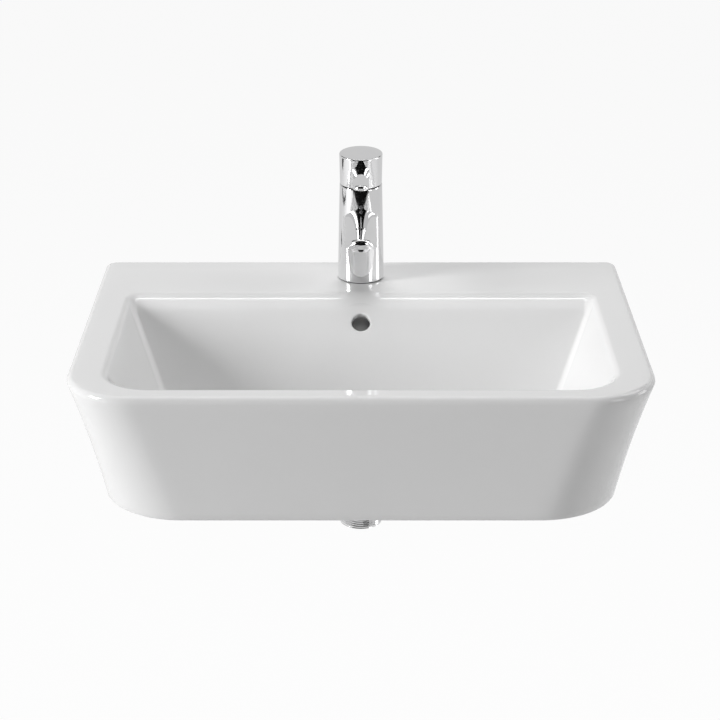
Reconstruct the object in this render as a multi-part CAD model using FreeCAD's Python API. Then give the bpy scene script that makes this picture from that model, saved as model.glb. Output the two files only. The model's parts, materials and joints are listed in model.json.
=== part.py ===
"""Semi-recessed washbasin with a single-lever mixer tap and a click-action waste.

Sizes are in millimetres.  +X is to the right, the front faces -Y, +Z is up.  The origin lies on
the counter surface that the rim rests on, on the centre line, in the middle of the rear ledge.
Every piece is one solid, or one group of equal solids, in its own STEP file.
"""
import FreeCAD
import Part
import math
import os
from FreeCAD import Placement, Rotation, Vector

# ---- basin: rim and front skirt -------------------------------------------------------------
BASIN_WIDTH = 560.0
BASIN_DEPTH = 400.0
RIM_HEIGHT = 14.0            # rim top above the counter
RIM_EDGE_RADIUS = 6.0        # rounding of the outer top edge
FRONT_CORNER_RADIUS = 68.0
REAR_CORNER_RADIUS = 12.0
REAR_LEDGE = 20.0            # part of the rim that rests on the counter behind the cut-out
SIDE_LEDGE = 20.0            # the same at the sides, from the rim's widest line
UNDER_RELIEF = 2.0           # shallow hollow under the rim, inside the ledge
FRONT_PROJECTION = 110.0     # how far the front stands out past the counter's front edge
SKIRT_DROP = 136.0           # rim top to the skirt's lower edge
SKIRT_SIDE_INSET = 28.5
SKIRT_FRONT_INSET = 24.6
SKIRT_FOOT_RADIUS = 80.0
SKIRT_FLARE = 0.56           # share of the inset reached at half height
SKIRT_WALL = 10.0

# ---- basin: bowl ----------------------------------------------------------------------------
SIDE_RIM = 36.5              # width of the rim beside the opening
REAR_DECK = 119.0            # width of the deck behind the opening
FRONT_RIM = 24.0
BOWL_DEPTH = 105.0           # rim top to the floor at the waste
BOWL_WALL = 9.0
BOWL_FRONT_CORNER = 45.0
BOWL_REAR_CORNER = 13.0
FOOT_FRONT_CORNER = 58.0     # corner radii at the floor
FOOT_REAR_CORNER = 46.0
FOOT_CORNER_ROOM = 0.85      # most of the floor's depth that its two corners may take up
SIDE_LEAN = 27.0             # wall angles from vertical, in degrees
REAR_LEAN = 43.0
FRONT_LEAN = 18.0
FLOOR_BLEND = 40.0           # radius between wall and floor
MOUTH_RADIUS = 6.0           # rounding of the inner rim edge

# ---- basin: waste outlet and overflow -------------------------------------------------------
WASTE_AHEAD = 22.5           # waste's centre in front of the opening's middle
WASTE_HOLE_RADIUS = 22.5
WASTE_BOSS_RADIUS = 35.0
WASTE_BOSS_DROP = 32.0       # floor to the boss's lower face
WASTE_RECESS_DEPTH = 3.0
WASTE_RECESS_GAP = 1.5
OVERFLOW_RADIUS = 9.7
OVERFLOW_ALONG_WALL = 29.0   # opening's edge to the overflow's centre, down the rear wall
DUCT_WIDTH = 40.0
DUCT_HEIGHT = 10.0
DUCT_WALL = 6.0
DUCT_CLEAR = 1.0             # between the bowl's underside and the duct

# ---- waste fitting --------------------------------------------------------------------------
TAIL_RADIUS = 20.955         # G 1 1/4 thread
TUBE_BORE = 18.5
TUBE_NECK_CUT = 0.6          # plain neck above the thread, radius less than the thread's
FLANGE_RADIUS = 32.0
FLANGE_THICKNESS = 3.0
FLANGE_LAND = 3.0            # flat ring outside the dished seat
FLANGE_EDGE = 1.2
SEAT_DEPTH = 2.2
SEAT_STEP = 1.0              # ledge between the dish and the bore
FLANGE_SEAL = 1.5
FLANGE_SEAL_INSET = 1.0
TAIL_BELOW_NUT = 34.0
THREAD_GROOVE = 2.0
SLOT_WIDTH = 14.0
SLOT_TO_THREAD = 2.0
TAIL_CHAMFER = 1.0
LOWER_SEAL = 4.0
LOWER_SEAL_INSET = 2.0
SLIP_WASHER = 2.0
BACKNUT_HEIGHT = 10.0
BACKNUT_FLATS = 54.0
BACKNUT_CHAMFER = 2.5
BACKNUT_CHAMFER_HEIGHT = 1.5
THREAD_GAP = 0.1
CROSSBAR_DROP = 22.0         # flange top to the crossbar's top
CROSSBAR_HEIGHT = 6.0
CROSSBAR_HUB = 7.0
CROSSBAR_ARM = 3.0
CROSSBAR_RIM = 2.2
CROSSBAR_FIT = 0.02
CARTRIDGE_SPIGOT = 4.0
SLEEVE_RADIUS = 7.0
SLEEVE_WALL = 1.6
SLEEVE_FLOOR = 1.5
STEM_GAP = 0.3
STEM_HOLD = 3.2              # length of stem still in the sleeve when the plug is up
STEM_SHOULDER = 1.0
PLUG_RADIUS = 24.0
PLUG_HEIGHT = 5.5
PLUG_CROWN_RISE = 1.9
PLUG_EDGE = 1.2
PLUG_STUD_RADIUS = 3.0
STUD_ON_PLUG = 2.5
PLUG_LIFT = 9.0              # how far the click cartridge raises the plug
PLUG_GAP = 0.3
PLUG_SEAL_HEIGHT = 2.0
PLUG_SEAL_INSET = 3.0
PLUG_SEAL_FIT = 0.6

# ---- tap: body and spout --------------------------------------------------------------------
TAP_FROM_REAR = 53.5
TAP_HOLE_RADIUS = 17.5
TAP_BASE_RADIUS = 24.7
TAP_TOP_RADIUS = 22.5
TAP_SEAM_HEIGHT = 105.0      # seam above the deck, on the axis
TAP_SEAL = 1.0
BODY_EDGE = 0.6
HEAD_TILT = 4.5              # forward tilt of the cartridge and handle, in degrees
SPOUT_WIDTH = 33.0
SPOUT_CROWN = 20.0           # radius of the spout's arched top
SPOUT_REACH = 110.0          # axis to the spout's tip
SPOUT_ROOT_TOP = 82.0        # heights above the deck
SPOUT_ROOT_UNDER = 57.0
SPOUT_TIP_TOP = 76.0
SPOUT_TIP_UNDER = 66.5
SPOUT_NOSE_EDGE = 4.0        # rounding of the nose's upper edge
SPOUT_ROOT_INSIDE = 6.0      # where the blade starts, from the tap's axis
WATERWAY_RADIUS = 3.0
DOT_RADIUS = 2.2
DOT_HEIGHT = 84.6
DOT_DEPTH = 2.0
DOT_PROUD = 0.2

# ---- tap: inlets and fixing -----------------------------------------------------------------
INLET_RADIUS = 4.5           # M10 x 1 tapping bore
INLET_DEPTH = 14.0
INLET_SPREAD = 7.5
INLET_BEHIND = 7.0
STUD_RADIUS = 4.0
STUD_AHEAD = 10.0
STUD_GRIP = 12.0
STUD_TAIL = 6.0
DECK_GASKET = 3.0
CLAMP_THICKNESS = 2.5
CLAMP_RADIUS = 24.0
CLAMP_SLOT = 32.0
CLAMP_BRIDGE = 5.0           # plate left between the stud and the slot
GASKET_MARGIN = 1.0
FIXING_NUT_HEIGHT = 12.0
FIXING_NUT_FLATS = 13.0

# ---- tap: cartridge, measured along the tilted head axis from the seam ----------------------
CHAMBER_RADIUS = 17.7
CHAMBER_DEPTH = 32.0
NUT_BORE_RADIUS = 18.9
NUT_SEAT = 10.0              # seam down to the nut's seat
NUT_HEIGHT = 7.0
FIT_GAP = 0.3
BASE_HEIGHT = 5.0
FIXED_DISC_RADIUS = 13.5
FIXED_DISC_HEIGHT = 4.0
MOVING_DISC_RADIUS = 10.2
MOVING_DISC_HEIGHT = 3.5
DISC_GAP = 0.2
COUPLER_HEIGHT = 4.0
PORT_RADIUS = 2.4
PORT_SPREAD = 6.0
PORT_BEHIND = 4.5
PORT_AHEAD = 7.0
PORT_RING_WIRE = 0.7
HOUSING_WALL = 2.8
NECK_RADIUS = 13.2
NECK_BORE = 11.4
CARRIER_NECK_TOP = 5.0
CARRIER_FLANGE = 2.3
SLOT_HALF_LENGTH = 8.5
PIVOT_PIN_RADIUS = 1.5
PIVOT_GAP = 0.08
COVER_RADIUS = 18.6
COVER_WALL = 1.2
COVER_TOP = 13.0
COVER_HOLE = 12.5            # opening for the neck's top and the spindle

# ---- tap: handle, measured along the same axis ----------------------------------------------
LIFT_RANGE = 20.0            # degrees
SEAM_GAP = 1.0
CAP_BOTTOM_RADIUS = 22.2
CAP_TOP_RADIUS = 22.8
CAP_TOP = 33.6
CAP_WALL = 2.6
CAP_ROOF = 4.0
CAP_EDGE = 0.8
LEVER_WIDTH = 17.0
LEVER_CROWN = 17.0
LEVER_REACH = 78.0
LEVER_TOP = 25.6
LEVER_THICKNESS = 5.0
LEVER_NOSE_EDGE = 2.5
LEVER_ROOT_INSIDE = 10.0     # where the blade starts, from the head's axis
SPINDLE_SIZE = 8.0
SPINDLE_TOP = 26.6
SPINDLE_GAP = 0.05
SPINDLE_HUB = 6.0
SPINDLE_HUB_WIDTH = 7.0
SPINDLE_ARM = 17.0           # pivot to the driving ball
BALL_RADIUS = 2.1
HUB_BOSS_RADIUS = 7.5
HUB_BOSS_BOTTOM = 17.5
SCREW_RADIUS = 2.5
SCREW_HEIGHT = 21.8
SCREW_LENGTH = 11.5
SCREW_BOSS_RADIUS = 4.5
PLUG_BUTTON_RADIUS = 3.2
PLUG_BUTTON_DEPTH = 3.0

# ---- tap: aerator, measured along the spout's underside normal -------------------------------
AERATOR_FROM_TIP = 16.0
AERATOR_RADIUS = 9.4
AERATOR_BORE = 7.6
AERATOR_SUNK = 4.0
AERATOR_PROUD = 4.5
AERATOR_INSERT = 3.5
AERATOR_SEAL = 1.0
AERATOR_HOLE = 1.3

# ---- levels and centres that follow ----------------------------------------------------------
REAR_Y = REAR_LEDGE / 2.0
BOWL_HALF_WIDTH = BASIN_WIDTH / 2 - SIDE_RIM
BOWL_FRONT = BASIN_DEPTH - FRONT_RIM
RIM_TOP = RIM_HEIGHT
EDGE_FOOT = RIM_TOP - RIM_EDGE_RADIUS - 0.5
SKIRT_FOOT = RIM_TOP - SKIRT_DROP
FLOOR_Z = RIM_TOP - BOWL_DEPTH
WASTE_Y = REAR_Y - (REAR_DECK + BOWL_FRONT) / 2 - WASTE_AHEAD
RECESS_Z = FLOOR_Z - WASTE_RECESS_DEPTH
BOSS_FOOT = FLOOR_Z - WASTE_BOSS_DROP
FLANGE_UNDER = RECESS_Z + FLANGE_SEAL
FLANGE_TOP = FLANGE_UNDER + FLANGE_THICKNESS
DUCT_Z = FLOOR_Z - BOWL_WALL - DUCT_CLEAR - DUCT_HEIGHT / 2.0
BACKNUT_FOOT = BOSS_FOOT - LOWER_SEAL - SLIP_WASHER - BACKNUT_HEIGHT
TAIL_FOOT = BACKNUT_FOOT - TAIL_BELOW_NUT
TAP_Y = REAR_Y - TAP_FROM_REAR
TAP_FOOT = RIM_TOP + TAP_SEAL
SEAM_Z = RIM_TOP + TAP_SEAM_HEIGHT
COUNTER_FRONT_Y = REAR_Y - BASIN_DEPTH + FRONT_PROJECTION
PLUG_FOOT = FLANGE_TOP + PLUG_GAP
CROSSBAR_TOP = FLANGE_TOP - CROSSBAR_DROP
STEM_FOOT = CROSSBAR_TOP + SLEEVE_FLOOR + STEM_GAP
GASKET_FOOT = UNDER_RELIEF - DECK_GASKET
CLAMP_FOOT = GASKET_FOOT - CLAMP_THICKNESS
HEAD = Placement(Vector(0, TAP_Y, SEAM_Z), Rotation(Vector(1, 0, 0), HEAD_TILT))
WASTE = Placement(Vector(0, WASTE_Y, 0), Rotation())


# ---- plain shapes ----------------------------------------------------------------------------
def post(radius, low, high, x=0.0, y=0.0):
    """Upright cylinder between two levels."""
    return Part.makeCylinder(radius, high - low, Vector(x, y, low))


def ring(inner, outer, low, high, x=0.0, y=0.0):
    return post(outer, low, high, x, y).cut(post(inner, low - 1, high + 1, x, y))


def block(x0, x1, y0, y1, z0, z1):
    return Part.makeBox(x1 - x0, y1 - y0, z1 - z0, Vector(x0, y0, z0))


def turned(profile):
    """Solid of revolution about Z from (radius, height) corners."""
    corners = [Vector(r, 0, z) for r, z in profile]
    face = Part.Face(Part.makePolygon(corners + corners[:1]))
    return face.revolve(Vector(0, 0, 0), Vector(0, 0, 1), 360)


def bore_between(start, end, radius):
    """Straight drilling from one point to another."""
    way = end.sub(start)
    return Part.makeCylinder(radius, way.Length, start, way)


def side_prism(corners, half_width):
    """Prism across X from (y, z) corners."""
    points = [Vector(-half_width, y, z) for y, z in corners]
    face = Part.Face(Part.makePolygon(points + points[:1]))
    return face.extrude(Vector(2 * half_width, 0, 0))


def hexagon(flats, low, high):
    radius = flats / math.sqrt(3.0)
    points = [Vector(radius * math.cos(math.radians(60 * k)), radius * math.sin(math.radians(60 * k)), low)
              for k in range(7)]
    return Part.Face(Part.makePolygon(points)).extrude(Vector(0, 0, high - low))


def joined(first, *others):
    return first.fuse(list(others)).removeSplitter()


def placed(shape, placement):
    moved = shape.copy()
    moved.Placement = placement.multiply(moved.Placement)
    return moved


def save(name, shape):
    shape.exportStep("parts/" + name + ".step")


# ---- basin -----------------------------------------------------------------------------------
def outline(half_width, front, rear, front_radius, rear_radius, z):
    """Closed rounded rectangle at height z.  front and rear are distances from the rear edge."""
    yf = REAR_Y - front
    yr = REAR_Y - rear
    hw = half_width
    rf = front_radius
    rr = rear_radius
    bend = math.sqrt(0.5)
    edges = [Part.makeLine(Vector(-hw + rf, yf, z), Vector(hw - rf, yf, z)),
             Part.Arc(Vector(hw - rf, yf, z), Vector(hw - rf + rf * bend, yf + rf - rf * bend, z),
                      Vector(hw, yf + rf, z)).toShape(),
             Part.makeLine(Vector(hw, yf + rf, z), Vector(hw, yr - rr, z)),
             Part.Arc(Vector(hw, yr - rr, z), Vector(hw - rr + rr * bend, yr - rr + rr * bend, z),
                      Vector(hw - rr, yr, z)).toShape(),
             Part.makeLine(Vector(hw - rr, yr, z), Vector(-hw + rr, yr, z)),
             Part.Arc(Vector(-hw + rr, yr, z), Vector(-hw + rr - rr * bend, yr - rr + rr * bend, z),
                      Vector(-hw, yr - rr, z)).toShape(),
             Part.makeLine(Vector(-hw, yr - rr, z), Vector(-hw, yf + rf, z)),
             Part.Arc(Vector(-hw, yf + rf, z), Vector(-hw + rf - rf * bend, yf + rf - rf * bend, z),
                      Vector(-hw + rf, yf, z)).toShape()]
    return Part.Wire(edges)


def skirt_section(height_share, wall):
    """Outline of the skirt, set in by a wall.  height_share runs from 0 at the rim to 1 at the foot."""
    bow = 4.0 * (SKIRT_FLARE - 0.5) * height_share * (1.0 - height_share)
    inset = height_share + bow
    radius = FRONT_CORNER_RADIUS + (SKIRT_FOOT_RADIUS - FRONT_CORNER_RADIUS) * height_share
    return outline(BASIN_WIDTH / 2 - SKIRT_SIDE_INSET * inset - wall,
                   BASIN_DEPTH - SKIRT_FRONT_INSET * inset - wall,
                   wall, radius - wall, max(REAR_CORNER_RADIUS - wall, 2.0),
                   EDGE_FOOT + (SKIRT_FOOT - EDGE_FOOT) * height_share)


def skirt_block(wall):
    return Part.makeLoft([skirt_section(share, wall) for share in (0.0, 0.33, 0.67, 1.0)], True)


def lean_grow(wall, lean):
    """Level distance that a wall's thickness takes on a face leaning from vertical."""
    return wall / math.cos(math.radians(lean))


def bowl_corners(depth, wall):
    """Where the four leaning walls meet at a depth: front left, front right, rear right, rear left."""
    half = BOWL_HALF_WIDTH + lean_grow(wall, SIDE_LEAN) - depth * math.tan(math.radians(SIDE_LEAN))
    front = BOWL_FRONT + lean_grow(wall, FRONT_LEAN) - depth * math.tan(math.radians(FRONT_LEAN))
    rear = REAR_DECK - lean_grow(wall, REAR_LEAN) + depth * math.tan(math.radians(REAR_LEAN))
    z = RIM_TOP - depth
    return [Vector(-half, REAR_Y - front, z), Vector(half, REAR_Y - front, z),
            Vector(half, REAR_Y - rear, z), Vector(-half, REAR_Y - rear, z)]


def rounded_corner(shape, top_point, top_radius, foot_radius):
    """Rounds the upright edge that starts at a top corner, with a radius that grows downwards."""
    for edge in shape.Edges:
        ends = [edge.valueAt(edge.FirstParameter), edge.valueAt(edge.LastParameter)]
        if abs(ends[0].z - ends[1].z) < 1.0:
            continue
        if ends[0].distanceToPoint(top_point) < 0.01:
            return shape.makeFillet(top_radius, foot_radius, [edge])
        if ends[1].distanceToPoint(top_point) < 0.01:
            return shape.makeFillet(foot_radius, top_radius, [edge])
    raise ValueError("the bowl has no edge at this corner")


def bowl_block(wall):
    """Solid of the bowl: leaning walls, round corners, a level floor and a round blend to it."""
    floor_depth = BOWL_DEPTH + wall
    top = bowl_corners(0.0, wall)
    foot = bowl_corners(floor_depth, wall)
    faces = [Part.Face(Part.makePolygon(top + top[:1])), Part.Face(Part.makePolygon(foot + foot[:1]))]
    for k in range(4):
        n = (k + 1) % 4
        faces.append(Part.Face(Part.makePolygon([top[k], top[n], foot[n], foot[k], top[k]])))
    walls = Part.makeSolid(Part.makeShell(faces))
    if walls.Volume < 0:
        walls.reverse()
    grow = wall / 2.0
    both = FOOT_FRONT_CORNER + FOOT_REAR_CORNER + wall
    fit = min(1.0, FOOT_CORNER_ROOM * (foot[2].y - foot[1].y) / both)
    for corner in top[:2]:
        walls = rounded_corner(walls, corner, BOWL_FRONT_CORNER + grow, (FOOT_FRONT_CORNER + grow) * fit)
    for corner in top[2:]:
        walls = rounded_corner(walls, corner, BOWL_REAR_CORNER + grow, (FOOT_REAR_CORNER + grow) * fit)
    around_floor = [edge for edge in walls.Edges if edge.BoundBox.ZMax < RIM_TOP - floor_depth + 0.1]
    return walls.makeFillet(FLOOR_BLEND + grow, around_floor)


def rim_plate():
    plate = Part.Face(outline(BASIN_WIDTH / 2, BASIN_DEPTH, 0.0, FRONT_CORNER_RADIUS, REAR_CORNER_RADIUS,
                              EDGE_FOOT))
    plate = plate.extrude(Vector(0, 0, RIM_TOP - EDGE_FOOT))
    top_edges = [edge for edge in plate.Edges
                 if all(abs(vertex.Z - RIM_TOP) < 0.01 for vertex in edge.Vertexes)]
    return plate.makeFillet(RIM_EDGE_RADIUS, top_edges)


def overflow_path():
    """Overflow centre on the wall, the way out through the wall, and the duct's three corners."""
    lean = math.radians(REAR_LEAN)
    down = Vector(0, -math.sin(lean), -math.cos(lean))
    out = Vector(0, math.cos(lean), -math.sin(lean))
    centre = Vector(0, REAR_Y - REAR_DECK, RIM_TOP).add(down.multiply(OVERFLOW_ALONG_WALL))
    down.normalize()
    duct_line = centre.add(Vector(out).multiply(BOWL_WALL + DUCT_HEIGHT / 2.0))
    top = duct_line.sub(Vector(down).multiply(OVERFLOW_RADIUS))
    knee = duct_line.add(Vector(down).multiply((duct_line.z - DUCT_Z) / math.cos(lean)))
    end = Vector(0, WASTE_Y, DUCT_Z)
    return centre, out, [top, knee, end]


def duct_run(corners, half_height, half_width, stretch):
    """Flat duct through its corners, rounded at each corner."""
    pieces = []
    for start, end in zip(corners, corners[1:]):
        way = end.sub(start)
        length = way.Length
        run = block(-half_width, half_width, 0, length, -half_height, half_height)
        run.Placement = Placement(start, Rotation(Vector(0, 1, 0), way))
        pieces.append(run)
    for corner in corners[:-1]:
        pieces.append(Part.makeCylinder(half_height, 2 * half_width, corner.add(Vector(-half_width, 0, 0)),
                                        Vector(1, 0, 0)))
    if stretch > 0:
        way = corners[0].sub(corners[1]).normalize()
        run = block(-half_width, half_width, 0, stretch, -half_height, half_height)
        run.Placement = Placement(corners[0], Rotation(Vector(0, 1, 0), way))
        pieces.append(run)
    return joined(pieces[0], *pieces[1:])


def on_mouth(edge):
    """True for the edges where the bowl's walls meet the rim's top."""
    box = edge.BoundBox
    inside = box.XMax < BOWL_HALF_WIDTH + 0.5 and box.XMin > -BOWL_HALF_WIDTH - 0.5
    inside = inside and box.YMin > REAR_Y - BOWL_FRONT - 0.5 and box.YMax < REAR_Y - REAR_DECK + 0.5
    return inside and box.ZMin > RIM_TOP - 0.05


def basin_body():
    shell = skirt_block(0.0)
    far = BASIN_WIDTH + BASIN_DEPTH
    in_front = block(-far, far, -far, COUNTER_FRONT_Y, -far, far)
    above_counter = block(-far, far, -far, far, 0.0, far)
    hollow = skirt_block(SKIRT_WALL).common(block(-far, far, -far, far, -far, UNDER_RELIEF))
    hollow = joined(hollow, Part.Face(skirt_section(1.0, SKIRT_WALL)).extrude(Vector(0, 0, -1.0)))
    hollow = hollow.common(in_front)
    skirt = shell.common(in_front).cut(hollow)
    ledge_half = BASIN_WIDTH / 2 - SIDE_LEDGE
    relief = block(-ledge_half, ledge_half, COUNTER_FRONT_Y, REAR_Y - REAR_LEDGE, -1.0, UNDER_RELIEF)
    flange = shell.common(above_counter).cut(relief).cut(hollow)
    below_rim = block(-far, far, -far, far, -far, RIM_TOP - 1.0)
    bowl = bowl_block(BOWL_WALL).common(below_rim)
    centre, out, corners = overflow_path()
    hump = duct_run(corners, DUCT_HEIGHT / 2 + DUCT_WALL, DUCT_WIDTH / 2 + DUCT_WALL, 1.0)
    boss = post(WASTE_BOSS_RADIUS, BOSS_FOOT, FLOOR_Z, 0, WASTE_Y)
    body = joined(rim_plate(), flange, skirt, bowl, hump, boss)
    body = body.cut(bowl_block(0.0))
    mouth = [edge for edge in body.Edges if on_mouth(edge)]
    body = body.makeFillet(MOUTH_RADIUS, mouth)
    body = body.cut(post(WASTE_HOLE_RADIUS, BOSS_FOOT - 1, FLOOR_Z + 1, 0, WASTE_Y))
    body = body.cut(post(FLANGE_RADIUS + WASTE_RECESS_GAP, RECESS_Z, FLOOR_Z + FLOOR_BLEND, 0, WASTE_Y))
    body = body.cut(duct_run(corners, DUCT_HEIGHT / 2, DUCT_WIDTH / 2, 0.0))
    drill = Part.makeCylinder(OVERFLOW_RADIUS, BOWL_WALL + DUCT_HEIGHT / 2 + 6.0,
                              centre.sub(Vector(out).multiply(6.0)), out)
    body = body.cut(drill)
    return body.cut(post(TAP_HOLE_RADIUS, -1, RIM_TOP + 1, 0, TAP_Y))


# ---- waste fitting ---------------------------------------------------------------------------
def waste_body():
    """Flange with a dished seat, slotted neck and threaded tail in one turned piece."""
    seat = TUBE_BORE + SEAT_STEP
    seat_z = FLANGE_TOP - SEAT_DEPTH
    dish = FLANGE_RADIUS - FLANGE_LAND
    neck = TAIL_RADIUS - TUBE_NECK_CUT
    slot_low = DUCT_Z - DUCT_HEIGHT / 2
    thread_top = slot_low - SLOT_TO_THREAD
    groove = BACKNUT_FOOT - THREAD_GROOVE
    profile = [(TUBE_BORE, TAIL_FOOT), (TAIL_RADIUS - TAIL_CHAMFER, TAIL_FOOT),
               (TAIL_RADIUS, TAIL_FOOT + TAIL_CHAMFER),
               (TAIL_RADIUS, groove), (neck, groove), (neck, BACKNUT_FOOT), (TAIL_RADIUS, BACKNUT_FOOT),
               (TAIL_RADIUS, thread_top), (neck, thread_top), (neck, FLANGE_UNDER),
               (FLANGE_RADIUS, FLANGE_UNDER), (FLANGE_RADIUS, FLANGE_TOP - FLANGE_EDGE),
               (FLANGE_RADIUS - FLANGE_EDGE, FLANGE_TOP), (dish, FLANGE_TOP), (seat, seat_z),
               (TUBE_BORE, seat_z)]
    body = turned(profile)
    slots = block(-SLOT_WIDTH / 2, SLOT_WIDTH / 2, -2 * TAIL_RADIUS, 2 * TAIL_RADIUS,
                  slot_low, DUCT_Z + DUCT_HEIGHT / 2)
    return body.cut(slots)


def waste_flange_seal():
    return ring(TAIL_RADIUS + FIT_GAP, FLANGE_RADIUS - FLANGE_SEAL_INSET, RECESS_Z, FLANGE_UNDER)


def waste_lower_seal():
    outer = WASTE_BOSS_RADIUS - LOWER_SEAL_INSET
    return ring(TAIL_RADIUS + FIT_GAP, outer, BOSS_FOOT - LOWER_SEAL, BOSS_FOOT)


def waste_slip_washer():
    top = BOSS_FOOT - LOWER_SEAL
    return ring(TAIL_RADIUS + FIT_GAP, WASTE_BOSS_RADIUS - LOWER_SEAL_INSET, top - SLIP_WASHER, top)


def waste_backnut():
    nut = hexagon(BACKNUT_FLATS, BACKNUT_FOOT, BACKNUT_FOOT + BACKNUT_HEIGHT)
    corners = BACKNUT_FLATS / math.sqrt(3.0)
    round_off = turned([(0, BACKNUT_FOOT), (corners - BACKNUT_CHAMFER, BACKNUT_FOOT),
                        (corners, BACKNUT_FOOT + BACKNUT_CHAMFER_HEIGHT),
                        (corners, BACKNUT_FOOT + BACKNUT_HEIGHT), (0, BACKNUT_FOOT + BACKNUT_HEIGHT)])
    return nut.common(round_off).cut(post(TAIL_RADIUS + THREAD_GAP, BACKNUT_FOOT - 1, BOSS_FOOT))


def waste_crossbar():
    """Spider that holds the plug's cartridge in the middle of the tube."""
    top = CROSSBAR_TOP
    foot = top - CROSSBAR_HEIGHT
    bars = block(-TUBE_BORE, TUBE_BORE, -CROSSBAR_ARM / 2, CROSSBAR_ARM / 2, foot, top)
    bars = bars.fuse(block(-CROSSBAR_ARM / 2, CROSSBAR_ARM / 2, -TUBE_BORE, TUBE_BORE, foot, top))
    bars = bars.common(post(TUBE_BORE - CROSSBAR_RIM / 2, foot, top))
    rim = ring(TUBE_BORE - CROSSBAR_RIM, TUBE_BORE - CROSSBAR_FIT, foot, top)
    spider = joined(bars, rim, post(CROSSBAR_HUB, foot, top))
    return spider.cut(post(CARTRIDGE_SPIGOT + THREAD_GAP, foot - 1, top + 1))


def plug_sleeve():
    """Fixed lower half of the click cartridge, screwed into the crossbar."""
    seat = CROSSBAR_TOP
    top = STEM_FOOT + PLUG_LIFT + STEM_HOLD
    bore = SLEEVE_RADIUS - SLEEVE_WALL
    return turned([(0, seat - CROSSBAR_HEIGHT), (CARTRIDGE_SPIGOT, seat - CROSSBAR_HEIGHT),
                   (CARTRIDGE_SPIGOT, seat), (SLEEVE_RADIUS, seat), (SLEEVE_RADIUS, top),
                   (bore, top), (bore, seat + SLEEVE_FLOOR), (0, seat + SLEEVE_FLOOR)])


def plug_stem():
    """Sliding half of the click cartridge, with the stud that the plug screws onto."""
    radius = SLEEVE_RADIUS - SLEEVE_WALL - STEM_GAP
    shoulder = PLUG_FOOT - STEM_SHOULDER
    stud_top = PLUG_FOOT + STUD_ON_PLUG
    return turned([(0, STEM_FOOT), (radius, STEM_FOOT), (radius, shoulder), (PLUG_STUD_RADIUS, shoulder),
                   (PLUG_STUD_RADIUS, stud_top), (0, stud_top)])


def plug_seal():
    """Soft ring under the plug, shaped to the flange's dished seat."""
    low = PLUG_FOOT - PLUG_SEAL_HEIGHT
    return turned([(SLEEVE_RADIUS, low), (TUBE_BORE - PLUG_SEAL_FIT, low),
                   (PLUG_RADIUS - PLUG_SEAL_INSET, PLUG_FOOT), (SLEEVE_RADIUS, PLUG_FOOT)])


def plug_cap():
    """Domed plug with a rolled edge, threaded underneath for the stem's stud."""
    side = PLUG_FOOT + PLUG_HEIGHT - PLUG_CROWN_RISE - PLUG_EDGE
    profile = [(0, PLUG_FOOT), (PLUG_RADIUS, PLUG_FOOT), (PLUG_RADIUS, side),
               (PLUG_RADIUS - 0.3 * PLUG_EDGE, side + 0.7 * PLUG_EDGE)]
    for share in (0.95, 0.75, 0.5, 0.0):
        profile.append((PLUG_RADIUS * share, PLUG_FOOT + PLUG_HEIGHT - PLUG_CROWN_RISE * share ** 2))
    top = PLUG_FOOT + STUD_ON_PLUG + 0.5
    return turned(profile).cut(post(PLUG_STUD_RADIUS + THREAD_GAP, PLUG_FOOT - 1, top))


# ---- tap: body, spout and fixing --------------------------------------------------------------
def round_nose(radius, low, high, out, edge, above):
    """Half-round end of a blade, with its upper front edge rounded below a level."""
    nose = post(radius, low, high, 0, -out)
    upper = [curve for curve in nose.Edges if curve.BoundBox.ZMin > high - 0.01]
    front = nose.makeFillet(edge, upper).common(block(-radius, radius, -out - radius, -out, low, high))
    return front.fuse(post(radius - edge, low, above, 0, -out))


def spout_line(out, root, tip):
    """Height above the deck of a spout edge at a distance in front of the axis."""
    start = TAP_TOP_RADIUS
    return RIM_TOP + root + (tip - root) * (out - start) / (SPOUT_REACH - start)


def spout():
    """Tapering blade with an arched top, a flat underside and a half-round tip."""
    near = SPOUT_ROOT_INSIDE
    side = [(-near, spout_line(near, SPOUT_ROOT_UNDER, SPOUT_TIP_UNDER)),
            (-SPOUT_REACH, spout_line(SPOUT_REACH, SPOUT_ROOT_UNDER, SPOUT_TIP_UNDER)),
            (-SPOUT_REACH, spout_line(SPOUT_REACH, SPOUT_ROOT_TOP, SPOUT_TIP_TOP)),
            (-near, spout_line(near, SPOUT_ROOT_TOP, SPOUT_TIP_TOP))]
    blade = side_prism(side, SPOUT_WIDTH / 2)
    nose = SPOUT_REACH - SPOUT_WIDTH / 2
    plan = block(-SPOUT_WIDTH / 2, SPOUT_WIDTH / 2, -nose, -near, 0, SEAM_Z)
    plan = plan.fuse(round_nose(SPOUT_WIDTH / 2, 0, RIM_TOP + SPOUT_TIP_TOP, nose, SPOUT_NOSE_EDGE, SEAM_Z))
    start = Vector(0, side[3][0], side[3][1])
    way = Vector(0, side[2][0], side[2][1]).sub(start)
    drop = Vector(0, way.z, -way.y).normalize().multiply(SPOUT_CROWN)
    if drop.z > 0:
        drop = drop.multiply(-1)
    arch = Part.makeCylinder(SPOUT_CROWN, way.Length + SPOUT_CROWN, start.add(drop), way)
    return blade.common(plan).common(arch)


def outlet_placement():
    """Frame of the aerator: origin on the spout's underside, +Z along the outgoing water."""
    out = SPOUT_REACH - AERATOR_FROM_TIP
    slope = math.atan2(SPOUT_TIP_UNDER - SPOUT_ROOT_UNDER, SPOUT_REACH - TAP_TOP_RADIUS)
    origin = Vector(0, TAP_Y - out, spout_line(out, SPOUT_ROOT_UNDER, SPOUT_TIP_UNDER))
    return Placement(origin, Rotation(Vector(0, 0, 1), Vector(0, -math.sin(slope), -math.cos(slope))))


def head_point(x, y, z):
    return HEAD.multVec(Vector(x, y, z))


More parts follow.
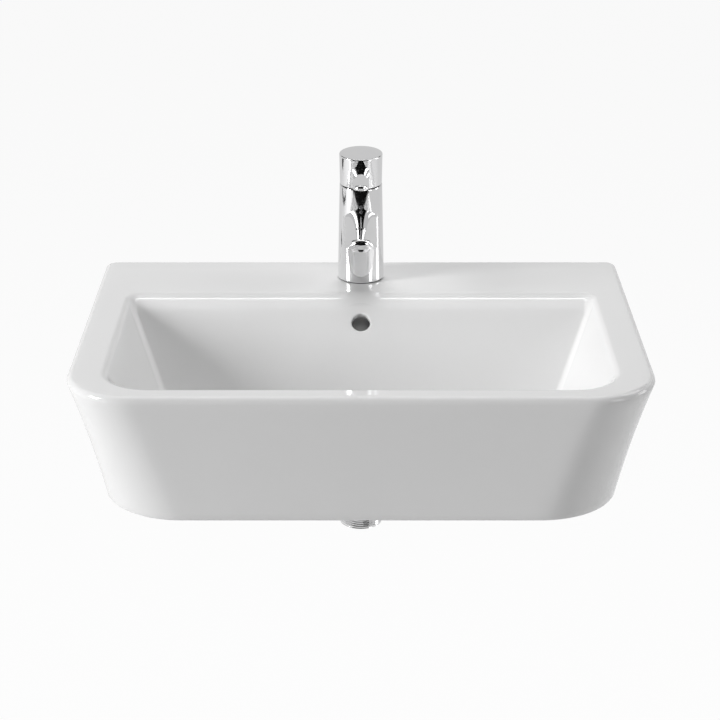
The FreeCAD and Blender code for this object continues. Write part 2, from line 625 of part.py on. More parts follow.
def tap_body():
    """Cast body: tapered column, spout, cartridge chamber, inlets, waterway and fixing thread."""
    above = 6.0
    column = turned([(0, TAP_FOOT), (TAP_BASE_RADIUS - BODY_EDGE, TAP_FOOT), (TAP_BASE_RADIUS, TAP_FOOT + BODY_EDGE),
                     (TAP_TOP_RADIUS, SEAM_Z), (TAP_TOP_RADIUS, SEAM_Z + above), (0, SEAM_Z + above)])
    body = placed(joined(column, spout()), Placement(Vector(0, TAP_Y, 0), Rotation()))
    body = body.cut(placed(post(3 * TAP_BASE_RADIUS, 0, 3 * above), HEAD))
    body = body.cut(placed(post(CHAMBER_RADIUS, -CHAMBER_DEPTH, 1), HEAD))
    body = body.cut(placed(post(NUT_BORE_RADIUS, -NUT_SEAT, 1), HEAD))
    for side in (-1, 1):
        x = side * INLET_SPREAD
        y = TAP_Y + INLET_BEHIND
        body = body.cut(post(INLET_RADIUS, TAP_FOOT - 1, TAP_FOOT + INLET_DEPTH, x, y))
        start = Vector(x, y, TAP_FOOT + INLET_DEPTH - 1)
        body = body.cut(bore_between(start, head_point(side * PORT_SPREAD, PORT_BEHIND, -CHAMBER_DEPTH + 1),
                                     PORT_RADIUS))
    outlet = outlet_placement()
    start = Vector(0, TAP_Y - PORT_AHEAD, RIM_TOP + SPOUT_ROOT_UNDER + WATERWAY_RADIUS + 2.0)
    end = outlet.multVec(Vector(0, 0, -AERATOR_SUNK - WATERWAY_RADIUS / 2))
    body = body.cut(bore_between(start, end, WATERWAY_RADIUS))
    body = body.cut(bore_between(start, head_point(0, -PORT_AHEAD, -CHAMBER_DEPTH + 1), PORT_RADIUS))
    body = body.cut(placed(post(AERATOR_RADIUS + 0.02, -AERATOR_SUNK - AERATOR_SEAL, 1), outlet))
    body = body.cut(post(STUD_RADIUS, TAP_FOOT - 1, TAP_FOOT + STUD_GRIP, 0, TAP_Y - STUD_AHEAD))
    return body.cut(dot_shape())


def dot_shape():
    """Round hot and cold marker, a little proud of the front of the column."""
    share = (TAP_SEAM_HEIGHT - DOT_HEIGHT) / TAP_SEAM_HEIGHT
    face = TAP_TOP_RADIUS + (TAP_BASE_RADIUS - TAP_TOP_RADIUS) * share + DOT_PROUD
    return Part.makeCylinder(DOT_RADIUS, DOT_DEPTH + DOT_PROUD, Vector(0, TAP_Y - face, RIM_TOP + DOT_HEIGHT),
                             Vector(0, 1, 0))


def tap_marker():
    return dot_shape()


def tap_base_seal():
    return ring(TAP_HOLE_RADIUS + 1.5, TAP_BASE_RADIUS - 1.2, RIM_TOP, TAP_FOOT, 0, TAP_Y)


def horseshoe(radius, low, high):
    """Round plate with a hole for the stud and a slot that lets the hoses past."""
    plate = post(radius, low, high)
    half = CLAMP_SLOT / 2
    end = -STUD_AHEAD + STUD_RADIUS + CLAMP_BRIDGE + half
    slot = block(-half, half, end, 2 * radius, low - 1, high + 1)
    slot = slot.fuse(post(half, low - 1, high + 1, 0, end))
    plate = plate.cut(slot).cut(post(STUD_RADIUS + FIT_GAP, low - 1, high + 1, 0, -STUD_AHEAD))
    return placed(plate, Placement(Vector(0, TAP_Y, 0), Rotation()))


def tap_deck_gasket():
    return horseshoe(CLAMP_RADIUS + GASKET_MARGIN, GASKET_FOOT, UNDER_RELIEF)


def tap_clamp_plate():
    return horseshoe(CLAMP_RADIUS, CLAMP_FOOT, GASKET_FOOT)


def tap_stud():
    low = CLAMP_FOOT - FIXING_NUT_HEIGHT - STUD_TAIL
    return post(STUD_RADIUS, low, TAP_FOOT + STUD_GRIP - 0.5, 0, TAP_Y - STUD_AHEAD)


def tap_fixing_nut():
    foot = CLAMP_FOOT - FIXING_NUT_HEIGHT
    nut = hexagon(FIXING_NUT_FLATS, foot, CLAMP_FOOT)
    nut = nut.cut(post(STUD_RADIUS + THREAD_GAP, foot - 1, CLAMP_FOOT + 1))
    return placed(nut, Placement(Vector(0, TAP_Y - STUD_AHEAD, 0), Rotation()))


# ---- tap: cartridge ---------------------------------------------------------------------------
BASE_TOP = -CHAMBER_DEPTH + BASE_HEIGHT
FIXED_TOP = BASE_TOP + FIXED_DISC_HEIGHT
MOVING_FOOT = FIXED_TOP + DISC_GAP
MOVING_TOP = MOVING_FOOT + MOVING_DISC_HEIGHT
COUPLER_TOP = MOVING_TOP + COUPLER_HEIGHT
HOUSING_RADIUS = CHAMBER_RADIUS - FIT_GAP
HOUSING_BORE = HOUSING_RADIUS - HOUSING_WALL
CARRIER_FOOT = COUPLER_TOP + FIT_GAP
HOUSING_CEILING = CARRIER_FOOT + CARRIER_FLANGE + FIT_GAP
BALL_OFFSET = SPINDLE_ARM * math.sin(math.radians(LIFT_RANGE / 2))
BALL_DROP = SPINDLE_ARM * math.cos(math.radians(LIFT_RANGE / 2))


def ports(low, high, radius):
    """The two inlet ports and the outlet port of the cartridge."""
    holes = post(radius, low, high, -PORT_SPREAD, PORT_BEHIND)
    holes = holes.fuse(post(radius, low, high, PORT_SPREAD, PORT_BEHIND))
    return holes.fuse(post(radius, low, high, 0, -PORT_AHEAD))


def cartridge_base():
    base = post(HOUSING_RADIUS, -CHAMBER_DEPTH, BASE_TOP)
    base = base.cut(ports(-CHAMBER_DEPTH - 1, BASE_TOP + 1, PORT_RADIUS - 0.3))
    pockets = ports(-CHAMBER_DEPTH - 1, -CHAMBER_DEPTH + 2 * PORT_RING_WIRE, PORT_RADIUS + 2 * PORT_RING_WIRE)
    return placed(base.cut(pockets), HEAD)


def cartridge_port_seals():
    """Three rings that seal the ports against the chamber floor."""
    spots = [(-PORT_SPREAD, PORT_BEHIND), (PORT_SPREAD, PORT_BEHIND), (0, -PORT_AHEAD)]
    top = -CHAMBER_DEPTH + 2 * PORT_RING_WIRE
    rings = [ring(PORT_RADIUS, PORT_RADIUS + 2 * PORT_RING_WIRE, -CHAMBER_DEPTH, top, x, y) for x, y in spots]
    return placed(Part.makeCompound(rings), HEAD)


def cartridge_fixed_disc():
    disc = post(FIXED_DISC_RADIUS, BASE_TOP, FIXED_TOP)
    return placed(disc.cut(ports(BASE_TOP - 1, FIXED_TOP + 1, PORT_RADIUS - 0.3)), HEAD)


def cartridge_moving_disc():
    """Disc with the mixing pocket underneath; it starts behind the centre and slides forwards."""
    disc = post(MOVING_DISC_RADIUS, MOVING_FOOT, MOVING_TOP, 0, BALL_OFFSET)
    pocket = block(-PORT_SPREAD + 1.0, PORT_SPREAD - 1.0, -PORT_AHEAD / 2, PORT_AHEAD, MOVING_FOOT - 1,
                   MOVING_FOOT + MOVING_DISC_HEIGHT / 2)
    return placed(disc.cut(pocket), HEAD)


def cartridge_coupler():
    """Plastic plate on the moving disc, with the socket for the spindle's ball."""
    plate = post(MOVING_DISC_RADIUS, MOVING_TOP, COUPLER_TOP, 0, BALL_OFFSET)
    socket = post(BALL_RADIUS + FIT_GAP, MOVING_TOP - 1, COUPLER_TOP + 1, 0, BALL_OFFSET)
    return placed(plate.cut(socket), HEAD)


def cartridge_housing():
    shell = turned([(HOUSING_BORE, BASE_TOP), (HOUSING_RADIUS, BASE_TOP), (HOUSING_RADIUS, -NUT_SEAT),
                    (NECK_RADIUS, -NUT_SEAT), (NECK_RADIUS, -2.0), (NECK_BORE, -2.0),
                    (NECK_BORE, HOUSING_CEILING), (HOUSING_BORE, HOUSING_CEILING)])
    return placed(shell, HEAD)


def cartridge_nut():
    """Threaded ring with two slots for the wrench, pressing the cartridge down."""
    top = -NUT_SEAT + NUT_HEIGHT
    nut = ring(NECK_RADIUS + FIT_GAP, NUT_BORE_RADIUS - 0.1, -NUT_SEAT, top)
    for turn in (0, 90):
        slot = block(-2.0, 2.0, -2 * NUT_BORE_RADIUS, 2 * NUT_BORE_RADIUS, top - 2.0, top + 1)
        slot.rotate(Vector(0, 0, 0), Vector(0, 0, 1), turn)
        nut = nut.cut(slot)
    return placed(nut, HEAD)


def dome_points(radius, top, bands):
    """Points on a round dome about the pivot, from its widest level up to its cut-off top."""
    end = math.asin(top / radius)
    angles = [end * k / bands for k in range(bands + 1)]
    return [(radius * math.cos(angle), radius * math.sin(angle)) for angle in angles]


def cartridge_cover():
    """Chromed dome that hides the nut, round about the lever's pivot so that the cap clears it."""
    foot = -NUT_SEAT + NUT_HEIGHT
    inner = COVER_RADIUS - COVER_WALL
    profile = [(inner, foot), (COVER_RADIUS, foot)]
    profile += dome_points(COVER_RADIUS, COVER_TOP, 3)
    profile += reversed(dome_points(inner, COVER_TOP - COVER_WALL, 1))
    profile.insert(-2, (COVER_HOLE, COVER_TOP))
    profile.insert(-2, (COVER_HOLE, COVER_TOP - COVER_WALL))
    return placed(turned(profile), HEAD)


def cartridge_carrier():
    """Turning guide: a flange under the housing's shoulder and a slotted neck with the pivot's bore."""
    carrier = turned([(0, CARRIER_FOOT), (HOUSING_BORE - FIT_GAP, CARRIER_FOOT),
                      (HOUSING_BORE - FIT_GAP, CARRIER_FOOT + CARRIER_FLANGE),
                      (NECK_BORE - FIT_GAP, CARRIER_FOOT + CARRIER_FLANGE),
                      (NECK_BORE - FIT_GAP, CARRIER_NECK_TOP), (0, CARRIER_NECK_TOP)])
    half = SPINDLE_HUB_WIDTH / 2 + FIT_GAP
    carrier = carrier.cut(block(-half, half, -SLOT_HALF_LENGTH, SLOT_HALF_LENGTH, CARRIER_FOOT - 1,
                                CARRIER_NECK_TOP + 1))
    pin_hole = Part.makeCylinder(PIVOT_PIN_RADIUS, 2 * NECK_BORE, Vector(-NECK_BORE, 0, 0), Vector(1, 0, 0))
    return placed(carrier.cut(pin_hole), HEAD)


def pivot_pin():
    length = 2 * (NECK_BORE - FIT_GAP) - 1.0
    pin = Part.makeCylinder(PIVOT_PIN_RADIUS, length, Vector(-length / 2, 0, 0), Vector(1, 0, 0))
    return placed(pin, HEAD)


# ---- tap: handle ------------------------------------------------------------------------------
def spindle():
    """Square stem, pivot eye and the arm whose ball drives the moving disc."""
    half = SPINDLE_SIZE / 2
    stem = block(-half, half, -half, half, CARRIER_NECK_TOP + 2.0, SPINDLE_TOP)
    width = SPINDLE_HUB_WIDTH / 2
    web = block(-width, width, -half, half, 0, CARRIER_NECK_TOP + 2.0)
    eye = Part.makeCylinder(SPINDLE_HUB, 2 * width, Vector(-width, 0, 0), Vector(1, 0, 0))
    ball = Vector(0, BALL_OFFSET, -BALL_DROP)
    arm = bore_between(Vector(0, 0, 0), ball, BALL_RADIUS - 0.5)
    shape = joined(stem, web, eye, arm, Part.makeSphere(BALL_RADIUS, ball))
    across = Vector(1, 0, 0)
    hole = Part.makeCylinder(PIVOT_PIN_RADIUS + PIVOT_GAP, 4 * width, Vector(-2 * width, 0, 0), across)
    return placed(shape.cut(hole), HEAD)


def lever():
    """Flat paddle with an arched top and a round tip."""
    near = LEVER_ROOT_INSIDE
    half = LEVER_WIDTH / 2
    nose = LEVER_REACH - half
    plan = block(-half, half, -nose, -near, LEVER_TOP - LEVER_THICKNESS, LEVER_TOP)
    plan = plan.fuse(round_nose(half, LEVER_TOP - LEVER_THICKNESS, LEVER_TOP, nose, LEVER_NOSE_EDGE,
                                LEVER_TOP))
    middle = Vector(0, 0, LEVER_TOP - LEVER_CROWN)
    arch = Part.makeCylinder(LEVER_CROWN, LEVER_REACH, middle, Vector(0, -1, 0))
    return plan.common(arch)


def handle():
    """Cap with the paddle lever, hollow over the dome, with bosses for the spindle and its screw."""
    roof = CAP_TOP - CAP_ROOF
    bore = CAP_BOTTOM_RADIUS - CAP_WALL
    cap = turned([(0, SEAM_GAP), (CAP_BOTTOM_RADIUS, SEAM_GAP), (CAP_TOP_RADIUS, CAP_TOP - CAP_EDGE),
                  (CAP_TOP_RADIUS - CAP_EDGE * 0.3, CAP_TOP - CAP_EDGE * 0.3),
                  (CAP_TOP_RADIUS - CAP_EDGE, CAP_TOP), (0, CAP_TOP)])
    cap = joined(cap, lever()).cut(post(bore, 0, roof))
    hub = post(HUB_BOSS_RADIUS, HUB_BOSS_BOTTOM, roof + 1)
    screw_boss = Part.makeCylinder(SCREW_BOSS_RADIUS, bore + 1, Vector(0, 0, SCREW_HEIGHT), Vector(0, 1, 0))
    cap = joined(cap, hub, screw_boss)
    half = SPINDLE_SIZE / 2 + SPINDLE_GAP
    cap = cap.cut(block(-half, half, -half, half, 0, SPINDLE_TOP + 0.5))
    start = Vector(0, 0, SCREW_HEIGHT)
    cap = cap.cut(Part.makeCylinder(SCREW_RADIUS, 2 * CAP_TOP_RADIUS, start, Vector(0, 1, 0)))
    cap = cap.cut(button_shape(0.02))
    far = 2 * CAP_TOP_RADIUS
    relief = side_prism([(0, 0), (far, 0), (far, SEAM_GAP + far * math.tan(math.radians(LIFT_RANGE))),
                         (0, SEAM_GAP)], far)
    return placed(cap.cut(relief), HEAD)


def button_shape(gap):
    start = CAP_BOTTOM_RADIUS - PLUG_BUTTON_DEPTH
    return Part.makeCylinder(PLUG_BUTTON_RADIUS + gap, 2 * PLUG_BUTTON_DEPTH, Vector(0, start, SCREW_HEIGHT),
                             Vector(0, 1, 0))


def handle_screw():
    """Grub screw with a hexagon socket, from the rear of the cap to the spindle."""
    start = SPINDLE_SIZE / 2
    screw = Part.makeCylinder(SCREW_RADIUS, SCREW_LENGTH, Vector(0, start, SCREW_HEIGHT), Vector(0, 1, 0))
    socket = hexagon(SCREW_RADIUS, 0, 3.0)
    socket.Placement = Placement(Vector(0, start + SCREW_LENGTH - 2.5, SCREW_HEIGHT), Rotation(Vector(1, 0, 0), -90))
    return placed(screw.cut(socket), HEAD)


def handle_screw_cover():
    """Small plug over the grub screw, flush with the cap."""
    outside = Part.makeCone(CAP_BOTTOM_RADIUS, CAP_TOP_RADIUS, CAP_TOP - SEAM_GAP, Vector(0, 0, SEAM_GAP))
    return placed(button_shape(0.0).common(outside), HEAD)


# ---- tap: aerator -----------------------------------------------------------------------------
def aerator_housing():
    profile = [(AERATOR_BORE, -AERATOR_SUNK), (AERATOR_RADIUS, -AERATOR_SUNK),
               (AERATOR_RADIUS, AERATOR_PROUD - 0.5), (AERATOR_RADIUS - 0.5, AERATOR_PROUD),
               (AERATOR_BORE - 0.8, AERATOR_PROUD), (AERATOR_BORE - 0.8, AERATOR_PROUD - 0.8),
               (AERATOR_BORE, AERATOR_PROUD - 0.8)]
    return placed(turned(profile), outlet_placement())


def aerator_seal():
    return placed(ring(AERATOR_BORE - 1.6, AERATOR_RADIUS, -AERATOR_SUNK - AERATOR_SEAL, -AERATOR_SUNK),
                  outlet_placement())


def aerator_insert():
    """Disc of fine holes that breaks up the stream."""
    top = AERATOR_PROUD - 0.8
    disc = post(AERATOR_BORE - 0.02, top - AERATOR_INSERT, top)
    for count, radius in ((1, 0.0), (6, AERATOR_BORE / 2)):
        for k in range(count):
            turn = 2 * math.pi * k / count
            disc = disc.cut(post(AERATOR_HOLE, top - AERATOR_INSERT - 1, top + 1,
                                 radius * math.cos(turn), radius * math.sin(turn)))
    return placed(disc, outlet_placement())


def build():
    save("basin_body", basin_body())
    waste_pieces = {"waste_body": waste_body, "waste_flange_seal": waste_flange_seal,
                    "waste_lower_seal": waste_lower_seal, "waste_slip_washer": waste_slip_washer,
                    "waste_backnut": waste_backnut, "waste_crossbar": waste_crossbar,
                    "plug_sleeve": plug_sleeve, "plug_stem": plug_stem, "plug_seal": plug_seal,
                    "plug_cap": plug_cap}
    for name, make in waste_pieces.items():
        save(name, placed(make(), WASTE))
    tap_pieces = {"tap_body": tap_body, "tap_marker": tap_marker, "tap_base_seal": tap_base_seal,
                  "tap_deck_gasket": tap_deck_gasket, "tap_clamp_plate": tap_clamp_plate,
                  "tap_stud": tap_stud, "tap_fixing_nut": tap_fixing_nut,
                  "cartridge_base": cartridge_base, "cartridge_port_seals": cartridge_port_seals,
                  "cartridge_fixed_disc": cartridge_fixed_disc,
                  "cartridge_moving_disc": cartridge_moving_disc, "cartridge_coupler": cartridge_coupler,
                  "cartridge_housing": cartridge_housing, "cartridge_nut": cartridge_nut,
                  "cartridge_cover": cartridge_cover, "cartridge_carrier": cartridge_carrier,
                  "pivot_pin": pivot_pin, "spindle": spindle, "handle": handle,
                  "handle_screw": handle_screw, "handle_screw_cover": handle_screw_cover,
                  "aerator_housing": aerator_housing, "aerator_seal": aerator_seal,
                  "aerator_insert": aerator_insert}
    for name, make in tap_pieces.items():
        save(name, make())


if __name__ == "__main__":
    os.makedirs("parts", exist_ok=True)
    build()
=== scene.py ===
"""Looks of the semi-recessed washbasin: glazed ceramic, chromed tap, waste fitting, camera and lights."""
import bmesh
import bpy
import json
import math
from mathutils import Matrix, Vector

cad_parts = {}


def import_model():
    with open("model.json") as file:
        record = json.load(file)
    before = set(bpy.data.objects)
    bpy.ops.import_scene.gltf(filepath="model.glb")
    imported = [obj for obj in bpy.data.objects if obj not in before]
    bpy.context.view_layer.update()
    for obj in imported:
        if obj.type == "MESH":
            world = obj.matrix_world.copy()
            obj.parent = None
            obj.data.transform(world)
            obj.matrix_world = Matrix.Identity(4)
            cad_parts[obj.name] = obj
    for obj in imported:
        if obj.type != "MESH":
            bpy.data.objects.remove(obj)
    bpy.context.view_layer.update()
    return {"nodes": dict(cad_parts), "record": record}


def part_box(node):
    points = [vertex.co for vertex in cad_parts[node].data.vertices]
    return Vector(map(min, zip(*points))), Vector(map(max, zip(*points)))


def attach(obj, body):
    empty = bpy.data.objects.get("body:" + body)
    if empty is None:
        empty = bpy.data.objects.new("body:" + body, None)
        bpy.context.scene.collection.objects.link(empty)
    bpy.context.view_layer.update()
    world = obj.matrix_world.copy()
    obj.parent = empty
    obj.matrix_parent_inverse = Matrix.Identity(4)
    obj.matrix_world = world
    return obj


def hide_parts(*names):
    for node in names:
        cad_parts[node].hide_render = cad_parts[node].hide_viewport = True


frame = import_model()

MM = 0.001

# ---- basin, in millimetres --------------------------------------------------------------------
BASIN_LOW, BASIN_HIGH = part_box("basin_body")
HALF_WIDTH = BASIN_HIGH[0] / MM
REAR = BASIN_HIGH[1] / MM
FRONT = BASIN_LOW[1] / MM
RIM_TOP = BASIN_HIGH[2] / MM
SKIRT_FOOT = BASIN_LOW[2] / MM
RIM_EDGE = 6.0
FRONT_CORNER = 68.0
REAR_CORNER = 12.0
EDGE_FOOT = RIM_TOP - RIM_EDGE - 0.5
COUNTER_FRONT = REAR - 290.0
SKIRT_SIDE_INSET = 28.5
SKIRT_FRONT_INSET = 24.6
SKIRT_FOOT_CORNER = 80.0
SKIRT_FLARE = 0.56
SKIRT_WALL = 10.0
LEDGE = 20.0
UNDER_RELIEF = 2.0
FOOT_EDGE = 2.0
BOWL_HALF = 243.5
BOWL_REAR = REAR - 119.0
BOWL_FRONT = REAR - 376.0
BOWL_DEPTH = 105.0
BOWL_WALL = 9.0
BOWL_FRONT_CORNER = 45.0
BOWL_REAR_CORNER = 9.0
CORNER_GROWS_FROM = 0.66
FOOT_FRONT_CORNER = 58.0
FOOT_REAR_CORNER = 46.0
SIDE_LEAN = math.radians(27.0)
REAR_LEAN = math.radians(43.0)
FRONT_LEAN = math.radians(18.0)
FLOOR_BLEND = 40.0
SIDE_MOUTH = 8.0
REAR_MOUTH = 46.0
FRONT_MOUTH = 6.0
FLOOR_Z = RIM_TOP - BOWL_DEPTH
FLOOR_FALL = 1.2
WASTE_Y = (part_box("waste_body")[0][1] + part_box("waste_body")[1][1]) / 2 / MM
WASTE_HOLE = 22.5
BOSS_RADIUS = 35.0
RECESS_RADIUS = 33.5
RECESS_Z = FLOOR_Z - 3.0
BOSS_FOOT = FLOOR_Z - 32.0
OVERFLOW_RADIUS = 9.7
OVERFLOW_ALONG_WALL = 29.0
DUCT_WIDTH = 40.0
DUCT_HEIGHT = 10.0
DUCT_WALL = 6.0
DUCT_Z = FLOOR_Z - BOWL_WALL - DUCT_HEIGHT / 2 - 1.0
REAR_WALL_DOWN = Vector((0, -math.sin(REAR_LEAN), -math.cos(REAR_LEAN)))
OVERFLOW_WAY = Vector((0, math.cos(REAR_LEAN), -math.sin(REAR_LEAN)))
OVERFLOW_CENTRE = Vector((0, BOWL_REAR, RIM_TOP)) + REAR_WALL_DOWN * OVERFLOW_ALONG_WALL

# ---- tap, in millimetres ----------------------------------------------------------------------
TAP_Y = REAR - 53.5
TAP_HOLE = 17.5
TAP_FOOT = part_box("tap_body")[0][2] / MM
TAP_BASE = 24.7
TAP_TOP = 22.5
SEAM_Z = RIM_TOP + 105.0
HEAD_TILT = math.radians(4.5)
SPOUT_WIDTH = 33.0
SPOUT_CROWN = 20.0
SPOUT_REACH = 110.0
SPOUT_ROOT_TOP = 82.0
SPOUT_ROOT_UNDER = 57.0
SPOUT_TIP_TOP = 76.0
SPOUT_TIP_UNDER = 66.5
SPOUT_NOSE = 4.0
CHAMBER_RADIUS = 17.7
CHAMBER_DEPTH = 32.0
NUT_BORE = 18.9
NUT_SEAT = 10.0
CAP_BOTTOM = 22.2
CAP_TOP_RADIUS = 22.8
CAP_TOP = 33.6
CAP_BORE = 19.6
CAP_ROOF = 29.6
CAP_EDGE = 1.0
SEAM_GAP = 1.0
LIFT_RANGE = math.radians(20.0)
LEVER_WIDTH = 17.0
LEVER_CROWN = 17.0
LEVER_REACH = 78.0
LEVER_TOP = 25.6
LEVER_THICKNESS = 5.0
LEVER_NOSE = 2.5
HUB_RADIUS = 7.5
HUB_FOOT = 17.5
SQUARE_BORE = 4.15
SCREW_HEIGHT = 21.8
BUTTON_RADIUS = 3.22
SCREW_BORE = 2.55
SCREW_BOSS = 4.5
SCREW_BOSS_START = 6.5
INLET_RADIUS = 4.5
INLET_DEPTH = 14.0
INLET_ASIDE = 7.5
INLET_BEHIND = 7.0
STUD_RADIUS = 4.0
STUD_DEPTH = 12.0
STUD_AHEAD = 10.0
OUTLET_BEHIND_TIP = 16.0
TONGUE_SIDE_STEPS = 24
TONGUE_NOSE_STEPS = 32

HEAD = Matrix.Translation(Vector((0, TAP_Y, SEAM_Z))) @ Matrix.Rotation(HEAD_TILT, 4, "X")
COLUMN = Matrix.Translation(Vector((0, TAP_Y, 0)))
DRAIN = Matrix.Translation(Vector((0, WASTE_Y, 0)))


# ---- materials --------------------------------------------------------------------------------
# span that most of a noise lies in
NOISE_SPAN = (0.3, 0.7)
# metres into the overflow, and metres from its centre, over which the painted shade inside the overflow fades
# in
THROAT_DEPTH = (0.0008, 0.003)
THROAT_REACH = (0.0235, 0.0225)
# share of the glaze's colour that the painted shade leaves inside the overflow
THROAT_PAINTED_SHADE = 0.88


def start_material(name):
    material = bpy.data.materials.new(name)
    material.use_nodes = True
    nodes = material.node_tree.nodes
    shader = nodes["Principled BSDF"]
    place = nodes.new("ShaderNodeTexCoord").outputs["Object"]
    return material, nodes, material.node_tree.links, shader, place


def noise(nodes, links, place, scale, detail=2.0):
    texture = nodes.new("ShaderNodeTexNoise")
    texture.inputs["Scale"].default_value = scale
    texture.inputs["Detail"].default_value = detail
    links.new(place, texture.inputs["Vector"])
    return texture.outputs["Fac"]


def spread(nodes, links, value, low, high):
    """Maps a noise, which mostly stays within its span, onto a range of values."""
    return remap(nodes, links, value, *NOISE_SPAN, low, high)


def grey(level):
    return (level, level, level)


def tint(nodes, links, value, first, second):
    mix = nodes.new("ShaderNodeMix")
    mix.data_type = "RGBA"
    mix.inputs[6].default_value = (*first, 1)
    mix.inputs[7].default_value = (*second, 1)
    links.new(value, mix.inputs["Factor"])
    return mix.outputs[2]


def relief(nodes, links, value, shader, strength, distance):
    bump = nodes.new("ShaderNodeBump")
    bump.inputs["Strength"].default_value = strength
    bump.inputs["Distance"].default_value = distance
    links.new(value, bump.inputs["Height"])
    links.new(bump.outputs["Normal"], shader.inputs["Normal"])


def remap(nodes, links, value, start, end, low=0.0, high=1.0):
    """Goes from low to high while a value goes from start to end."""
    change = nodes.new("ShaderNodeMapRange")
    change.inputs["From Min"].default_value = start
    change.inputs["From Max"].default_value = end
    change.inputs["To Min"].default_value = low
    change.inputs["To Max"].default_value = high
    links.new(value, change.inputs["Value"])
    return change.outputs["Result"]


def painted_shade_mask(nodes, links, place):
    """Mask of the painted shade: 1 inside the overflow and its duct's end, 0 on the faces round it."""
    offset = nodes.new("ShaderNodeVectorMath")
    offset.operation = "SUBTRACT"
    offset.inputs[1].default_value = OVERFLOW_CENTRE * MM
    links.new(place, offset.inputs[0])
    depth = nodes.new("ShaderNodeVectorMath")
    depth.operation = "DOT_PRODUCT"
    depth.inputs[1].default_value = OVERFLOW_WAY
    links.new(offset.outputs["Vector"], depth.inputs[0])
    away = nodes.new("ShaderNodeVectorMath")
    away.operation = "LENGTH"
    links.new(offset.outputs["Vector"], away.inputs[0])
    both = nodes.new("ShaderNodeMath")
    both.operation = "MULTIPLY"
    links.new(remap(nodes, links, depth.outputs["Value"], *THROAT_DEPTH), both.inputs[0])
    links.new(remap(nodes, links, away.outputs["Value"], *THROAT_REACH), both.inputs[1])
    return both.outputs["Value"]


def glaze():
    """White glaze: faint cloudiness, a slow waviness, a clear gloss, and painted shade that darkens it inside
    the overflow.
    """
    material, nodes, links, shader, place = start_material("glaze")
    cloud = noise(nodes, links, place, 9.0)
    coat = tint(nodes, links, cloud, grey(0.80), grey(0.83))
    # painted shade: the glaze's colour is darkened inside the overflow, where shade falls
    inside = tint(nodes, links, painted_shade_mask(nodes, links, place), grey(1.0), grey(THROAT_PAINTED_SHADE))
    colour = nodes.new("ShaderNodeMix")
    colour.data_type = "RGBA"
    colour.blend_type = "MULTIPLY"
    colour.inputs["Factor"].default_value = 1.0
    links.new(coat, colour.inputs[6])
    links.new(inside, colour.inputs[7])
    links.new(colour.outputs[2], shader.inputs["Base Color"])
    links.new(spread(nodes, links, noise(nodes, links, place, 60.0), 0.05, 0.09), shader.inputs["Roughness"])
    shader.inputs["IOR"].default_value = 1.5
    relief(nodes, links, noise(nodes, links, place, 22.0, 1.0), shader, 0.06, 0.002)
    return material


def chrome():
    """Polished chrome plate with a trace of polishing haze."""
    material, nodes, links, shader, place = start_material("chrome plate")
    haze = noise(nodes, links, place, 35.0, 3.0)
    links.new(tint(nodes, links, haze, (0.80, 0.80, 0.81), (0.86, 0.86, 0.86)), shader.inputs["Base Color"])
    links.new(spread(nodes, links, noise(nodes, links, place, 160.0), 0.03, 0.06), shader.inputs["Roughness"])
    shader.inputs["Metallic"].default_value = 1.0
    return material


def turned_brass():
    """Machined brass with fine turning marks."""
    material, nodes, links, shader, place = start_material("turned brass")
    wave = nodes.new("ShaderNodeTexWave")
    wave.wave_type = "RINGS"
    wave.rings_direction = "Z"
    wave.inputs["Scale"].default_value = 700.0
    wave.inputs["Distortion"].default_value = 1.0
    links.new(place, wave.inputs["Vector"])
    stain = noise(nodes, links, place, 90.0, 4.0)
    links.new(tint(nodes, links, stain, (0.55, 0.40, 0.17), (0.70, 0.53, 0.25)), shader.inputs["Base Color"])
    links.new(spread(nodes, links, stain, 0.24, 0.36), shader.inputs["Roughness"])
    shader.inputs["Metallic"].default_value = 1.0
    relief(nodes, links, wave.outputs["Fac"], shader, 0.15, 0.0002)
    return material


def brushed_steel():
    material, nodes, links, shader, place = start_material("brushed steel")
    stretch = nodes.new("ShaderNodeMapping")
    stretch.inputs["Scale"].default_value = (1.0, 30.0, 30.0)
    links.new(place, stretch.inputs["Vector"])
    grain = noise(nodes, links, stretch.outputs["Vector"], 60.0, 4.0)
    links.new(tint(nodes, links, grain, (0.45, 0.45, 0.46), (0.60, 0.60, 0.61)), shader.inputs["Base Color"])
    links.new(spread(nodes, links, grain, 0.25, 0.42), shader.inputs["Roughness"])
    shader.inputs["Metallic"].default_value = 1.0
    relief(nodes, links, grain, shader, 0.1, 0.0001)
    return material


def soft_rubber():
    material, nodes, links, shader, place = start_material("soft rubber")
    grain = noise(nodes, links, place, 400.0, 4.0)
    links.new(tint(nodes, links, grain, grey(0.018), grey(0.035)), shader.inputs["Base Color"])
    links.new(spread(nodes, links, grain, 0.55, 0.75), shader.inputs["Roughness"])
    relief(nodes, links, grain, shader, 0.3, 0.0002)
    return material


def moulded_plastic(name, dark, light):
    material, nodes, links, shader, place = start_material(name)
    grain = noise(nodes, links, place, 250.0, 3.0)
    links.new(tint(nodes, links, grain, dark, light), shader.inputs["Base Color"])
    links.new(spread(nodes, links, grain, 0.32, 0.48), shader.inputs["Roughness"])
    relief(nodes, links, grain, shader, 0.12, 0.0001)
    return material


def lapped_ceramic():
    """Polished technical ceramic of the discs."""
    material, nodes, links, shader, place = start_material("lapped ceramic")
    speck = noise(nodes, links, place, 700.0, 3.0)
    links.new(tint(nodes, links, speck, (0.78, 0.77, 0.73), (0.88, 0.87, 0.84)), shader.inputs["Base Color"])
    links.new(spread(nodes, links, speck, 0.12, 0.22), shader.inputs["Roughness"])
    return material


FINISHES = {
    "ceramic": glaze(),
    "chrome": chrome(),
    "brass": turned_brass(),
    "steel": brushed_steel(),
    "rubber": soft_rubber(),
    "plastic": moulded_plastic("white plastic", (0.68, 0.68, 0.66), (0.76, 0.76, 0.74)),
    "marker": moulded_plastic("grey marker", (0.10, 0.10, 0.105), (0.16, 0.16, 0.165)),
    "disc": lapped_ceramic(),
}


